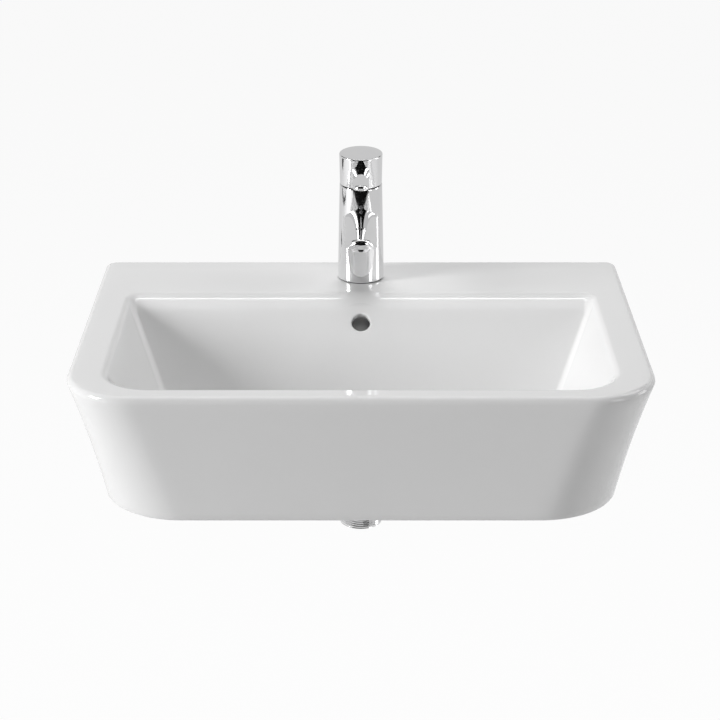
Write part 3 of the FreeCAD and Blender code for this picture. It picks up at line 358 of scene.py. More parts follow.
# ---- mesh helpers -----------------------------------------------------------------------------
def placed(name, data):
    """New object in the scene."""
    item = bpy.data.objects.new(name, data)
    bpy.context.scene.collection.objects.link(item)
    return item


def mesh_object(name, points, faces, sharp=35.0):
    """Object from points in millimetres, with its normals outward and its sharp edges marked."""
    mesh = bpy.data.meshes.new(name)
    mesh.from_pydata([Vector(p) * MM for p in points], [], faces)
    work = bmesh.new()
    work.from_mesh(mesh)
    bmesh.ops.remove_doubles(work, verts=work.verts, dist=1e-7)
    bmesh.ops.dissolve_degenerate(work, dist=1e-8, edges=work.edges)
    loose = [vertex for vertex in work.verts if not vertex.link_faces]
    bmesh.ops.delete(work, geom=loose, context="VERTS")
    bmesh.ops.recalc_face_normals(work, faces=work.faces)
    work.to_mesh(mesh)
    work.free()
    smooth(mesh, sharp)
    return placed(name, mesh)


def smooth(mesh, sharp):
    mesh.shade_smooth()
    mesh.set_sharp_from_angle(angle=math.radians(sharp))


def ring_faces(rings, columns, closed_rows, keep=None):
    """Quads between successive rings of equal length, closed round each ring."""
    faces = []
    last = rings if closed_rows else rings - 1
    for row in range(last):
        below = row * columns
        above = (row + 1) % rings * columns
        for k in range(columns):
            n = (k + 1) % columns
            if keep is None or keep(row, k, n):
                faces.append((below + k, below + n, above + n, above + k))
    return faces


def polar(radius, turn, z, y=0.0):
    """Point at a radius and an angle round the Z axis, or round the upright line at y."""
    return Vector((radius * math.cos(turn), y + radius * math.sin(turn), z))


def facing(point, way):
    """Frame at a point, with its Z axis along a way."""
    return Matrix.Translation(point) @ way.to_track_quat("Z", "Y").to_matrix().to_4x4()


def baked(item):
    """Replaces an object's mesh by its evaluated mesh and drops the modifiers."""
    graph = bpy.context.evaluated_depsgraph_get()
    mesh = bpy.data.meshes.new_from_object(item.evaluated_get(graph))
    item.modifiers.clear()
    item.data = mesh


def cut(item, *cutters, sharp=35.0):
    """Takes the cutters out of an object, and out of the scene."""
    for cutter in cutters:
        modifier = item.modifiers.new("cut", "BOOLEAN")
        modifier.operation = "DIFFERENCE"
        modifier.solver = "EXACT"
        modifier.object = cutter
        baked(item)
        bpy.data.objects.remove(cutter)
    smooth(item.data, sharp)
    return item


def merged(name, items):
    """One object out of several closed shells."""
    work = bmesh.new()
    for item in items:
        work.from_mesh(item.data)
        bpy.data.objects.remove(item)
    mesh = bpy.data.meshes.new(name)
    work.to_mesh(mesh)
    work.free()
    return placed(name, mesh)


def bevelled(item, width, angle):
    """Rounds the edges that turn by more than an angle."""
    bevel = item.modifiers.new("edge", "BEVEL")
    bevel.width = width * MM
    bevel.segments = 3
    bevel.limit_method = "ANGLE"
    bevel.angle_limit = math.radians(angle)
    baked(item)
    smooth(item.data, 50.0)
    return item


def turned(name, profile, place, columns=96, sharp=35.0):
    """Lathe shape about the place's Z axis from (radius, height) points, closed end to end."""
    points = []
    for radius, height in profile:
        for k in range(columns):
            points.append(place @ polar(radius, 2 * math.pi * k / columns, height))
    faces = ring_faces(len(profile), columns, profile[0][0] > 0)
    return mesh_object(name, points, faces, sharp)


def arc(centre_r, centre_z, radius, start, end, steps):
    """Profile points on an arc, with its angles in degrees from the outward direction."""
    points = []
    for k in range(steps + 1):
        angle = math.radians(start + (end - start) * k / steps)
        points.append((centre_r + radius * math.cos(angle), centre_z + radius * math.sin(angle)))
    return points


def rod(name, radius, start, end):
    """Plain round bar between two points, closed at both ends."""
    way = Vector(end) - Vector(start)
    profile = [(0, 0), (radius, 0), (radius, way.length), (0, way.length)]
    return turned(name, profile, facing(Vector(start), way), 64)


def slab(name, low, high, place=Matrix.Identity(4)):
    """Square-edged block, used to cut with."""
    corners = []
    for x in (low[0], high[0]):
        for y in (low[1], high[1]):
            for z in (low[2], high[2]):
                corners.append(place @ Vector((x, y, z)))
    faces = [(0, 1, 3, 2), (4, 6, 7, 5), (0, 4, 5, 1), (2, 3, 7, 6), (0, 2, 6, 4), (1, 5, 7, 3)]
    return mesh_object(name, corners, faces)


def finish(item, body, slot, *nodes):
    """Material, body and the CAD nodes that a finished piece stands for."""
    item.data.materials.clear()
    item.data.materials.append(FINISHES[slot])
    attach(item, body)
    if nodes:
        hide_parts(*nodes)
    return item


# ---- basin ------------------------------------------------------------------------------------
FRONT_STEPS = 40
FRONT_CORNER_STEPS = 20
NEAR_SIDE_STEPS = 12
FAR_SIDE_STEPS = 24
REAR_CORNER_STEPS = 12
REAR_STEPS = 40
RIM_STEPS = 8
MOUTH_STEPS = 12
WALL_STEPS = 26
BLEND_STEPS = 12
UNDER_WALL_STEPS = 12
UNDER_BLEND_STEPS = 8
SKIRT_STEPS = 16


def outline(half, front, rear, front_radius, rear_radius, level):
    """Points round a rounded rectangle.

    level gives a point's height from its shares of front, side and rear.
    """
    split = min(max(COUNTER_FRONT, front + front_radius + 2), rear - rear_radius - 2)
    marks = []

    def run(x0, y0, x1, y1, steps, shares):
        for k in range(steps):
            part = k / steps
            marks.append((x0 + (x1 - x0) * part, y0 + (y1 - y0) * part, shares))

    def bend(x, y, radius, start, steps, first, second):
        for k in range(steps):
            part = k / steps
            angle = math.radians(start + 90 * part)
            ease = part * part * (3 - 2 * part)
            shares = [a + (b - a) * ease for a, b in zip(first, second)]
            marks.append((x + radius * math.cos(angle), y + radius * math.sin(angle), shares))

    at_front, at_side, at_rear = (1, 0, 0), (0, 1, 0), (0, 0, 1)
    xf = half - front_radius
    xr = half - rear_radius
    run(-xf, front, xf, front, FRONT_STEPS, at_front)
    bend(xf, front + front_radius, front_radius, -90, FRONT_CORNER_STEPS, at_front, at_side)
    run(half, front + front_radius, half, split, NEAR_SIDE_STEPS, at_side)
    run(half, split, half, rear - rear_radius, FAR_SIDE_STEPS, at_side)
    bend(xr, rear - rear_radius, rear_radius, 0, REAR_CORNER_STEPS, at_side, at_rear)
    run(xr, rear, -xr, rear, REAR_STEPS, at_rear)
    bend(-xr, rear - rear_radius, rear_radius, 90, REAR_CORNER_STEPS, at_rear, at_side)
    run(-half, rear - rear_radius, -half, split, FAR_SIDE_STEPS, at_side)
    run(-half, split, -half, front + front_radius, NEAR_SIDE_STEPS, at_side)
    bend(-xf, front + front_radius, front_radius, 180, FRONT_CORNER_STEPS, at_side, at_front)
    return [Vector((x, y, level(*shares))) for x, y, shares in marks]


def flat(z):
    return lambda front, side, rear: z


def skirt_ring(z, wall):
    """The skirt's section at a height, set in by a wall."""
    share = (EDGE_FOOT - z) / (EDGE_FOOT - SKIRT_FOOT)
    inset = share + 4 * (SKIRT_FLARE - 0.5) * share * (1 - share)
    radius = FRONT_CORNER + (SKIRT_FOOT_CORNER - FRONT_CORNER) * share
    return outline(HALF_WIDTH - SKIRT_SIDE_INSET * inset - wall, FRONT + SKIRT_FRONT_INSET * inset + wall,
                   REAR - wall, radius - wall, max(REAR_CORNER - wall, 2.0), flat(z))


def ledge_ring(z):
    """Inner edge of the ledge under the rim, and of the skirt's wall in front of the counter."""
    ring = []
    for point in skirt_ring(z, SKIRT_WALL):
        if point.y > COUNTER_FRONT + 0.01:
            reach = HALF_WIDTH - LEDGE
            point = Vector((max(-reach, min(reach, point.x)), min(point.y, REAR - LEDGE), z))
        ring.append(point)
    return ring


def wall_profile(lean, mouth, wall, mouth_steps, wall_steps, blend_steps):
    """(inset, height) of one leaning wall, from the rim's top or the underside down to the floor."""
    depth = BOWL_DEPTH + wall
    blend = FLOOR_BLEND + wall / 2
    grow = wall / math.cos(lean)
    points = []
    if mouth_steps:
        back = mouth * math.tan((math.pi / 2 - lean) / 2)
        for k in range(mouth_steps + 1):
            turn = (math.pi / 2 - lean) * k / mouth_steps
            points.append((mouth * math.sin(turn) - back, -mouth * (1 - math.cos(turn))))
    else:
        top = RIM_TOP - UNDER_RELIEF
        points.append((top * math.tan(lean) - grow, -top))
    start = points[-1]
    low = depth - blend * (1 - math.sin(lean))
    for k in range(1, wall_steps + 1):
        down = start[1] + (-low - start[1]) * k / wall_steps
        points.append((-down * math.tan(lean) - grow, down))
    reach = depth * math.tan(lean) + blend * math.tan((math.pi / 2 - lean) / 2) - grow
    for k in range(1, blend_steps + 1):
        turn = (math.pi / 2 - lean) * (1 - k / blend_steps)
        points.append((reach - blend * math.sin(turn), -depth + blend * (1 - math.cos(turn))))
    return points


def bowl_rings(wall, mouth_steps, wall_steps, blend_steps):
    """Sections of the bowl's walls down to the flat of the floor."""
    steps = (mouth_steps, wall_steps, blend_steps)

    def off_line(point, lean):
        """How far a wall's point lies inside the straight line of its lean."""
        return point[0] + point[1] * math.tan(lean) + wall / math.cos(lean)

    rings = []
    for side, rear, front in zip(wall_profile(SIDE_LEAN, SIDE_MOUTH, wall, *steps),
                                 wall_profile(REAR_LEAN, REAR_MOUTH, wall, *steps),
                                 wall_profile(FRONT_LEAN, FRONT_MOUTH, wall, *steps)):
        side_off = off_line(side, SIDE_LEAN)
        share = -(side[1] + rear[1]) / 2 / BOWL_DEPTH
        front_radius = BOWL_FRONT_CORNER + (FOOT_FRONT_CORNER - BOWL_FRONT_CORNER) * share + wall / 2
        late = max(0.0, share - CORNER_GROWS_FROM) / (1 - CORNER_GROWS_FROM)
        rear_radius = BOWL_REAR_CORNER + (FOOT_REAR_CORNER - BOWL_REAR_CORNER) * late ** 2 + wall / 2
        front_radius -= (off_line(front, FRONT_LEAN) + side_off) / 2
        rear_radius -= (off_line(rear, REAR_LEAN) + side_off) / 2

        def level(f, s, r, front_z=front[1], side_z=side[1], rear_z=rear[1]):
            return RIM_TOP + f * front_z + s * side_z + r * rear_z

        rings.append(outline(BOWL_HALF - side[0], BOWL_FRONT + front[0], BOWL_REAR - rear[0],
                             front_radius, rear_radius, level))
    return rings


def round_ring(like, radius, z):
    """Circle round the waste, with each point in line with the same point of another ring."""
    ring = []
    for point in like:
        way = Vector((point.x, point.y - WASTE_Y, 0)).normalized() * radius
        ring.append(Vector((way.x, WASTE_Y + way.y, z)))
    return ring


def between(first, second, share):
    return [a.lerp(b, share) for a, b in zip(first, second)]


def waste_seat(floor_ring):
    """Rings from the bowl's floor through the recess and the hole to the boss and the floor's underside."""
    lip = FLOOR_Z - FLOOR_FALL
    under = FLOOR_Z - BOWL_WALL
    recess = [(RECESS_RADIUS + 0.9, lip - 0.2), (RECESS_RADIUS + 0.4, lip - 0.7),
              (RECESS_RADIUS, RECESS_Z + 0.3), (RECESS_RADIUS - 0.4, RECESS_Z)]
    hole = [(WASTE_HOLE + 0.8, RECESS_Z), (WASTE_HOLE, RECESS_Z - 0.8),
            (WASTE_HOLE, BOSS_FOOT + 0.8), (WASTE_HOLE + 0.8, BOSS_FOOT)]
    boss = [(BOSS_RADIUS - 1.5, BOSS_FOOT), (BOSS_RADIUS, BOSS_FOOT + 1.5), (BOSS_RADIUS, under - 5),
            (BOSS_RADIUS + 1.5, under - 1.5), (BOSS_RADIUS + 5, under)]
    edge = round_ring(floor_ring, RECESS_RADIUS + 1.6, lip)
    rings = [between(floor_ring, edge, share) for share in (0.2, 0.4, 0.6, 0.8)]
    rings.append(edge)
    rings += [round_ring(floor_ring, radius, z) for radius, z in recess + hole + boss]
    return rings


def rim_rings():
    """The rim's rounded outer edge, from its side to its top."""
    rings = []
    for k in range(RIM_STEPS + 1):
        turn = math.pi / 2 * k / RIM_STEPS
        inset = RIM_EDGE * (1 - math.cos(turn))
        rings.append(outline(HALF_WIDTH - inset, FRONT + inset, REAR - inset, FRONT_CORNER - inset,
                             REAR_CORNER - inset, flat(RIM_TOP - RIM_EDGE + RIM_EDGE * math.sin(turn))))
    return rings


def skirt_rings():
    """The skirt below the counter's level: down its outside to the foot, and up its inside."""
    levels = [SKIRT_FOOT * k / SKIRT_STEPS for k in range(1, SKIRT_STEPS)] + [SKIRT_FOOT + FOOT_EDGE]
    outside = [skirt_ring(z, 0.0) for z in levels]
    outside += [skirt_ring(SKIRT_FOOT + 0.6, 0.6), skirt_ring(SKIRT_FOOT, FOOT_EDGE)]
    inside = [skirt_ring(SKIRT_FOOT, SKIRT_WALL - FOOT_EDGE), skirt_ring(SKIRT_FOOT + 0.6, SKIRT_WALL - 0.6)]
    inside += [skirt_ring(z, SKIRT_WALL) for z in reversed(levels)]
    return outside, inside


def basin_shell():
    """Rim, bowl and skirt as one closed surface."""
    lower = skirt_ring(0.0, 0.0)
    columns = len(lower)
    rings = [lower, skirt_ring(EDGE_FOOT, 0.0)] + rim_rings()
    inside = bowl_rings(0.0, MOUTH_STEPS, WALL_STEPS, BLEND_STEPS)
    rings += [between(rings[-1], inside[0], share) for share in (0.25, 0.5, 0.75)]
    outside = bowl_rings(BOWL_WALL, 0, UNDER_WALL_STEPS, UNDER_BLEND_STEPS)
    rings += inside + waste_seat(inside[-1]) + outside[::-1]
    rings += [ledge_ring(UNDER_RELIEF), ledge_ring(0.0)]
    count = len(rings)
    in_front = [point.y < COUNTER_FRONT + 0.01 for point in lower]

    def whole(row, k, n):
        return row < count - 1 or not (in_front[k] and in_front[n])

    faces = ring_faces(count, columns, True, whole)
    down, up = skirt_rings()
    skirt = down + up
    rows = [0] + list(range(count, count + len(skirt))) + [count - 1]
    for low, high in zip(rows, rows[1:]):
        for k in range(columns):
            n = (k + 1) % columns
            if in_front[k] and in_front[n]:
                faces.append((low * columns + k, low * columns + n, high * columns + n, high * columns + k))
    for k in range(columns):
        if not in_front[k] or (in_front[(k + 1) % columns] and in_front[k - 1]):
            continue
        for step in range(len(down)):
            corners = (rows[step], rows[step + 1], rows[-step - 2], rows[-step - 1])
            faces.append(tuple(row * columns + k for row in corners))
    points = [point for ring in rings + skirt for point in ring]
    return mesh_object("basin", points, faces, 32.0)


def duct_corners():
    """Corners of the overflow's duct: behind the hole, at the knee under the bowl, and in the boss."""
    line = OVERFLOW_CENTRE + OVERFLOW_WAY * (BOWL_WALL + DUCT_HEIGHT / 2)
    top = line - REAR_WALL_DOWN * OVERFLOW_RADIUS
    knee = line + REAR_WALL_DOWN * ((line.z - DUCT_Z) / math.cos(REAR_LEAN))
    return [top, knee, Vector((0, WASTE_Y + BOSS_RADIUS - 6, DUCT_Z))]


def duct_shell(name, corners, half_height, half_width, rounding, early):
    """Flat duct along its corners, started a little early, with a rounded section and both ends closed."""
    ways = [(b - a).normalized() for a, b in zip(corners, corners[1:])]
    stations = [(corners[0] - ways[0] * early, ways[0])]
    stations += [(corners[1], (ways[0] + ways[1]).normalized()), (corners[2], ways[1])]
    points = []
    section = []
    for sx, sz, start in ((1, -1, -90), (1, 1, 0), (-1, 1, 90), (-1, -1, 180)):
        centre = (sx * (half_width - rounding), sz * (half_height - rounding))
        section += arc(*centre, rounding, start, start + 90, 4)
    across = Vector((1, 0, 0))
    for place, way in stations:
        up = across.cross(way)
        stretch = 1 / max(way.dot(ways[0]), 0.5)
        points += [place + across * x + up * z * stretch for x, z in section]
    count = len(section)
    faces = ring_faces(3, count, False)
    faces += [tuple(range(count)), tuple(range(2 * count, 3 * count))]
    return mesh_object(name, points, faces)


def basin():
    shell = basin_shell()
    mouth = [(0, -3), (OVERFLOW_RADIUS + 1.6, -3), (OVERFLOW_RADIUS + 1.3, -0.02),
             (OVERFLOW_RADIUS + 0.55, 0.25), (OVERFLOW_RADIUS + 0.12, 0.8), (OVERFLOW_RADIUS, 1.6),
             (OVERFLOW_RADIUS, BOWL_WALL + 4), (0, BOWL_WALL + 4)]
    cut(shell, turned("mouth", mouth, facing(OVERFLOW_CENTRE, OVERFLOW_WAY)),
        rod("hole", TAP_HOLE, (0, TAP_Y, -5), (0, TAP_Y, RIM_TOP + 5)), sharp=32.0)
    corners = duct_corners()
    hump = duct_shell("hump", corners, DUCT_HEIGHT / 2 + DUCT_WALL, DUCT_WIDTH / 2 + DUCT_WALL, 5.0, 8.0)
    drill_end = OVERFLOW_CENTRE + OVERFLOW_WAY * (BOWL_WALL + DUCT_HEIGHT / 2)
    cut(hump, duct_shell("duct", corners, DUCT_HEIGHT / 2, DUCT_WIDTH / 2, 3.0, 2.0),
        rod("drill", OVERFLOW_RADIUS + 0.5, OVERFLOW_CENTRE, drill_end))
    whole = merged("basin", [shell, hump])
    return finish(whole, "basin", "ceramic", "basin_body")


# ---- tap --------------------------------------------------------------------------------------
def column():
    """Tapered column with its top cut to the head's tilt, hollowed for the cartridge."""
    columns = 128
    tilt = math.tan(HEAD_TILT)
    edge = 0.6
    # a ring just past each rounded edge keeps the tall face's smooth normals from bending
    support = edge + 0.7

    def ring(share, inset, lift):
        points = []
        for k in range(columns):
            turn = 2 * math.pi * k / columns
            top = SEAM_Z + TAP_TOP * math.sin(turn) * tilt
            z = TAP_FOOT + (top - TAP_FOOT) * share + lift
            radius = TAP_BASE + (TAP_TOP - TAP_BASE) * (z - TAP_FOOT) / (SEAM_Z - TAP_FOOT) - inset
            points.append(polar(radius, turn, z, TAP_Y))
        return points

    foot_edge = [(edge + 1, 0.0), (edge, 0.0), (0.18, 0.18), (0.0, edge), (0.0, support)]
    top_edge = [(0.0, -support), (0.0, -edge), (0.18, -0.18), (edge, 0.0)]
    bore = [(NUT_BORE + 0.5, 0.0), (NUT_BORE, -0.5), (NUT_BORE, -NUT_SEAT), (CHAMBER_RADIUS, -NUT_SEAT),
            (CHAMBER_RADIUS, -CHAMBER_DEPTH), (0.0, -CHAMBER_DEPTH)]
    rings = [[Vector((0, TAP_Y, TAP_FOOT))] * columns]
    rings += [ring(0.0, inset, lift) for inset, lift in foot_edge]
    rings += [ring(k / 10, 0.0, 0.0) for k in range(1, 10)]
    rings += [ring(1.0, inset, lift) for inset, lift in top_edge]
    for radius, height in bore:
        rings.append([HEAD @ polar(radius, 2 * math.pi * k / columns, height) for k in range(columns)])
    points = [point for one in rings for point in one]
    shell = mesh_object("column", points, ring_faces(len(rings), columns, False))
    for x, y, radius, depth in ((-INLET_ASIDE, INLET_BEHIND, INLET_RADIUS, INLET_DEPTH),
                                (INLET_ASIDE, INLET_BEHIND, INLET_RADIUS, INLET_DEPTH),
                                (0.0, -STUD_AHEAD, STUD_RADIUS, STUD_DEPTH)):
        cut(shell, rod("bore", radius, (x, TAP_Y + y, TAP_FOOT - 2), (x, TAP_Y + y, TAP_FOOT + depth)))
    return shell


def tongue(name, width, root, reach, top, under, place, edge, nose_edge):
    """Blade with straight sides and a half-round nose.  top and under give heights from (across, out)."""
    half = width / 2
    nose = reach - half
    path = []
    for k in range(TONGUE_SIDE_STEPS):
        path.append((-half, root + (nose - root) * k / TONGUE_SIDE_STEPS))
    for k in range(TONGUE_NOSE_STEPS + 1):
        angle = math.pi * k / TONGUE_NOSE_STEPS
        path.append((-half * math.cos(angle), nose + half * math.sin(angle)))
    for k in range(1, TONGUE_SIDE_STEPS + 1):
        path.append((half, nose + (root - nose) * k / TONGUE_SIDE_STEPS))

    def level(across, out):
        """The underside's nose isn't rounded away."""
        return 0.0

    def fall(across, out):
        """How far the nose's upper edge is rounded away."""
        ahead = max(out - nose, 0.0)
        inward = max(half - math.hypot(across, ahead), 0.0)
        if not ahead or inward >= nose_edge:
            return 0.0
        drop = nose_edge - math.sqrt(nose_edge ** 2 - (nose_edge - inward) ** 2)
        return drop * min(1.0, ahead / nose_edge)

    def ring(share, height, drop):
        points = []
        for x, out in path:
            across = x * share
            along = min(out, nose) + max(out - nose, 0) * share
            points.append(place @ Vector((across, -along, height(across, along) - drop(across, along))))
        return points

    rings = [ring(share, under, level) for share in (0.0, 0.25, 0.5, 0.75, 1.0)]
    # close together near the outline, where the nose is rounded
    near = [1.0, 0.997, 0.99, 0.975, 0.955, 0.93, 0.9, 0.86, 0.82, 0.78, 0.74, 0.68]
    rings += [ring(share, top, fall) for share in near + [0.6, 0.5, 0.4, 0.3, 0.2, 0.1, 0.0]]
    count = len(path)
    rows = range(len(rings) - 1)
    faces = []
    for row in rows:
        for k in range(count - 1):
            a, b = row * count + k, (row + 1) * count + k
            faces.append((a, a + 1, b + 1, b))
    for row in rows:
        a, b = row * count, (row + 1) * count
        faces.append((a, b, b + count - 1, a + count - 1))
    points = [point for one in rings for point in one]
    blade = mesh_object(name, points, faces, 30.0)
    return bevelled(blade, edge, 28.0)


def spout():
    def line(out, root, tip):
        return RIM_TOP + root + (tip - root) * (out - TAP_TOP) / (SPOUT_REACH - TAP_TOP)

    def top(across, out):
        ridge = line(out, SPOUT_ROOT_TOP, SPOUT_TIP_TOP)
        return ridge - SPOUT_CROWN + math.sqrt(SPOUT_CROWN ** 2 - across ** 2)

    def under(across, out):
        return line(out, SPOUT_ROOT_UNDER, SPOUT_TIP_UNDER)

    return tongue("spout", SPOUT_WIDTH, 12.0, SPOUT_REACH, top, under, COLUMN, 0.7, SPOUT_NOSE)


def tap_body():
    whole = merged("tap_column_and_spout", [column(), spout()])
    return finish(whole, "basin", "chrome", "tap_body")


def lever_blade():
    def top(across, out):
        return LEVER_TOP - LEVER_CROWN + math.sqrt(LEVER_CROWN ** 2 - across ** 2)

    def under(across, out):
        return LEVER_TOP - LEVER_THICKNESS

    return tongue("lever", LEVER_WIDTH, 21.0, LEVER_REACH, top, under, HEAD, 0.6, LEVER_NOSE)


def cap():
    """Hollow cap whose rear lower edge slopes up, so that it clears the column when the lever lifts."""
    columns = 128
    slope = math.tan(LIFT_RANGE)

    def at(radius):
        return lambda z: radius

    def side(z, inset=0.0):
        return CAP_BOTTOM + (CAP_TOP_RADIUS - CAP_BOTTOM) * (z - SEAM_GAP) / (CAP_TOP - SEAM_GAP) - inset

    def ring(radius_at, height, foot_share):
        points = []
        for k in range(columns):
            turn = 2 * math.pi * k / columns
            foot = SEAM_GAP + max(0.0, CAP_BOTTOM * math.sin(turn)) * slope
            z = height + (foot - height) * foot_share
            points.append(HEAD @ polar(radius_at(z), turn, z))
        return points

    rings = [ring(at(0.0), CAP_ROOF, 0.0), ring(at(CAP_BORE), CAP_ROOF, 0.0)]
    rings += [ring(at(CAP_BORE), CAP_ROOF - 0.5, share) for share in (0.0, 0.5, 0.95, 1.0)]
    rings.append(ring(lambda z: side(z, 0.5), CAP_TOP, 1.0))
    rings.append(ring(lambda z: side(z, 0.12), CAP_TOP, 0.992))
    for share in (0.98, 0.965, 0.8, 0.6, 0.4, 0.2, 0.05, 0.02, 0.0):
        rings.append(ring(side, CAP_TOP - CAP_EDGE, share))
    for k in range(1, 7):
        turn = math.pi / 2 * k / 6
        radius = CAP_TOP_RADIUS - CAP_EDGE + CAP_EDGE * math.cos(turn)
        rings.append(ring(at(radius), CAP_TOP - CAP_EDGE + CAP_EDGE * math.sin(turn), 0.0))
    rings += [ring(at(CAP_TOP_RADIUS * 0.6), CAP_TOP, 0.0), ring(at(0.0), CAP_TOP, 0.0)]
    points = [point for one in rings for point in one]
    return mesh_object("cap", points, ring_faces(len(rings), columns, False), 30.0)


def handle():
    """Cap, lever, and inside them the hub for the square spindle and the grub screw's boss."""
    rearward = HEAD @ Matrix.Translation(Vector((0, 0, SCREW_HEIGHT))) @ Matrix.Rotation(-math.pi / 2, 4, "X")
    button = [(0, 12), (BUTTON_RADIUS, 12), (BUTTON_RADIUS, 30), (0, 30)]
    shell = cut(cap(), turned("button_bore", button, rearward, 48), sharp=30.0)
    hub_end = CAP_ROOF + 1
    hub = turned("hub", [(0, HUB_FOOT), (HUB_RADIUS - 0.3, HUB_FOOT), (HUB_RADIUS, HUB_FOOT + 0.3),
                         (HUB_RADIUS, hub_end), (0, hub_end)], HEAD, 64)
    cut(hub, slab("square_bore", (-SQUARE_BORE, -SQUARE_BORE, HUB_FOOT - 1),
                  (SQUARE_BORE, SQUARE_BORE, CAP_ROOF - 2.5), HEAD))
    start, end = SCREW_BOSS_START, CAP_BORE + 0.2
    profile = [(SCREW_BORE, start), (SCREW_BOSS, start), (SCREW_BOSS, end), (SCREW_BORE, end)]
    boss = turned("screw_boss", profile, rearward, 48)
    whole = merged("handle_cap_and_lever", [shell, lever_blade(), hub, boss])
    return finish(whole, "handle", "chrome", "handle")


def cartridge_dome():
    """Chromed dome inside the seam."""
    outer, wall, top = 18.6, 1.2, 13.0
    inner = outer - wall
    outer_end = math.degrees(math.asin(top / outer))
    inner_end = math.degrees(math.asin((top - wall) / inner))
    profile = [(inner, -3.0), (outer, -3.0)] + arc(0, 0, outer, 0, outer_end, 12)
    profile += [(12.5, top), (12.5, top - wall)] + arc(0, 0, inner, inner_end, 0, 8)
    return finish(turned("cartridge_dome", profile, HEAD), "basin", "chrome", "cartridge_cover")


def marker():
    """Round hot and cold marker, slightly domed, flush with the column."""
    low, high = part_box("tap_marker")
    front = low[1] / MM
    z = (low[2] + high[2]) / 2 / MM
    radius = (high[0] - low[0]) / 2 / MM
    place = Matrix.Translation(Vector((0, front + 0.02, z))) @ Matrix.Rotation(math.pi / 2, 4, "X")
    profile = [(0, -1.8), (radius, -1.8), (radius, -0.25), (radius - 0.15, -0.08), (radius - 0.5, 0.0),
               (0, 0.0)]
    return finish(turned("marker", profile, place, 48), "basin", "marker", "tap_marker")


# ---- outlet -----------------------------------------------------------------------------------
def outlet_place():
    """Frame of the outlet: on the spout's underside, with Z along the outgoing water."""
    out = SPOUT_REACH - OUTLET_BEHIND_TIP
    rise = (SPOUT_TIP_UNDER - SPOUT_ROOT_UNDER) / (SPOUT_REACH - TAP_TOP)
    z = RIM_TOP + SPOUT_ROOT_UNDER + rise * (out - TAP_TOP)
    way = Vector((0, -math.sin(math.atan(rise)), -math.cos(math.atan(rise))))
    return facing(Vector((0, TAP_Y - out, z)), way)


def aerator():
    bore, outer, proud, lip = 7.6, 9.4, 4.5, 0.8
    profile = [(bore, -4), (outer, -4), (outer, proud - lip)] + arc(outer - lip, proud - lip, lip, 15, 90, 5)
    profile += [(bore - 0.4, proud), (bore - lip, proud - 0.3), (bore - lip, proud - lip),
                (bore, proud - lip)]
    return finish(turned("aerator_ring", profile, outlet_place()), "basin", "chrome", "aerator_housing")


# ---- waste ------------------------------------------------------------------------------------
FLANGE_TOP = RECESS_Z + 4.5
TAIL_RADIUS = 20.955
TUBE_BORE = 18.5
BACKNUT_FOOT = BOSS_FOOT - 16.0
TAIL_FOOT = BACKNUT_FOOT - 34.0
THREAD_PITCH = 2.309
THREAD_DEPTH = 0.9
SLOT_HALF = 7.0


def waste_tube():
    """Flange with a dished seat, and a tail with its helical thread."""
    columns = 96
    core = TAIL_RADIUS - 0.6
    flange = [(TUBE_BORE, FLANGE_TOP - 2.2), (TUBE_BORE + 1, FLANGE_TOP - 2.2), (28.6, FLANGE_TOP - 0.15),
              (29.2, FLANGE_TOP), (30.6, FLANGE_TOP)]
    flange += arc(30.8, FLANGE_TOP - 1.2, 1.2, 80, 0, 6)
    flange += [(32.0, FLANGE_TOP - 2.8), (31.8, FLANGE_TOP - 3.0), (core, FLANGE_TOP - 3.0)]
    rows = [(radius, z, 0.0) for radius, z in flange]
    start = DUCT_Z - DUCT_HEIGHT / 2 - 2.0
    steps = int((start - TAIL_FOOT - 1.0) / (THREAD_PITCH / 6))
    rows.append((core, start + 1.0, 0.0))
    for k in range(steps + 1):
        z = start + (TAIL_FOOT + 1.0 - start) * k / steps
        rows.append((TAIL_RADIUS, z, min(1.0, k / 6, (steps - k) / 6)))
    rows += [(TAIL_RADIUS - 1.2, TAIL_FOOT, 0.0), (TUBE_BORE + 0.4, TAIL_FOOT, 0.0),
             (TUBE_BORE, TAIL_FOOT + 0.4, 0.0)]
    points = []
    for radius, z, thread in rows:
        for k in range(columns):
            turn = k / columns
            phase = (z / THREAD_PITCH + turn) % 1.0
            deep = THREAD_DEPTH * thread * (1 - abs(2 * phase - 1))
            points.append(DRAIN @ polar(radius - deep, 2 * math.pi * turn, z))
    tube = mesh_object("waste_tube", points, ring_faces(len(rows), columns, True), 50.0)
    cut(tube, slab("slot", (-SLOT_HALF, WASTE_Y - 45, DUCT_Z - DUCT_HEIGHT / 2),
                   (SLOT_HALF, WASTE_Y + 45, DUCT_Z + DUCT_HEIGHT / 2)), sharp=50.0)
    return finish(tube, "basin", "chrome", "waste_body")


def soft_ring(name, node, inner, edge):
    """Rubber or plastic ring with rounded edges, from its CAD node's box."""
    low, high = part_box(node)
    outer = (high[0] - low[0]) / 2 / MM
    bottom, top = low[2] / MM, high[2] / MM
    y = (low[1] + high[1]) / 2 / MM
    corner = edge * 0.3
    profile = arc(outer - edge, bottom + edge, edge, -90, 0, 4)
    profile += arc(outer - edge, top - edge, edge, 0, 90, 4)
    profile += [(inner + corner, top), (inner, top - corner), (inner, bottom + corner),
                (inner + corner, bottom)]
    return turned(name, profile, Matrix.Translation(Vector((0, y, 0))))


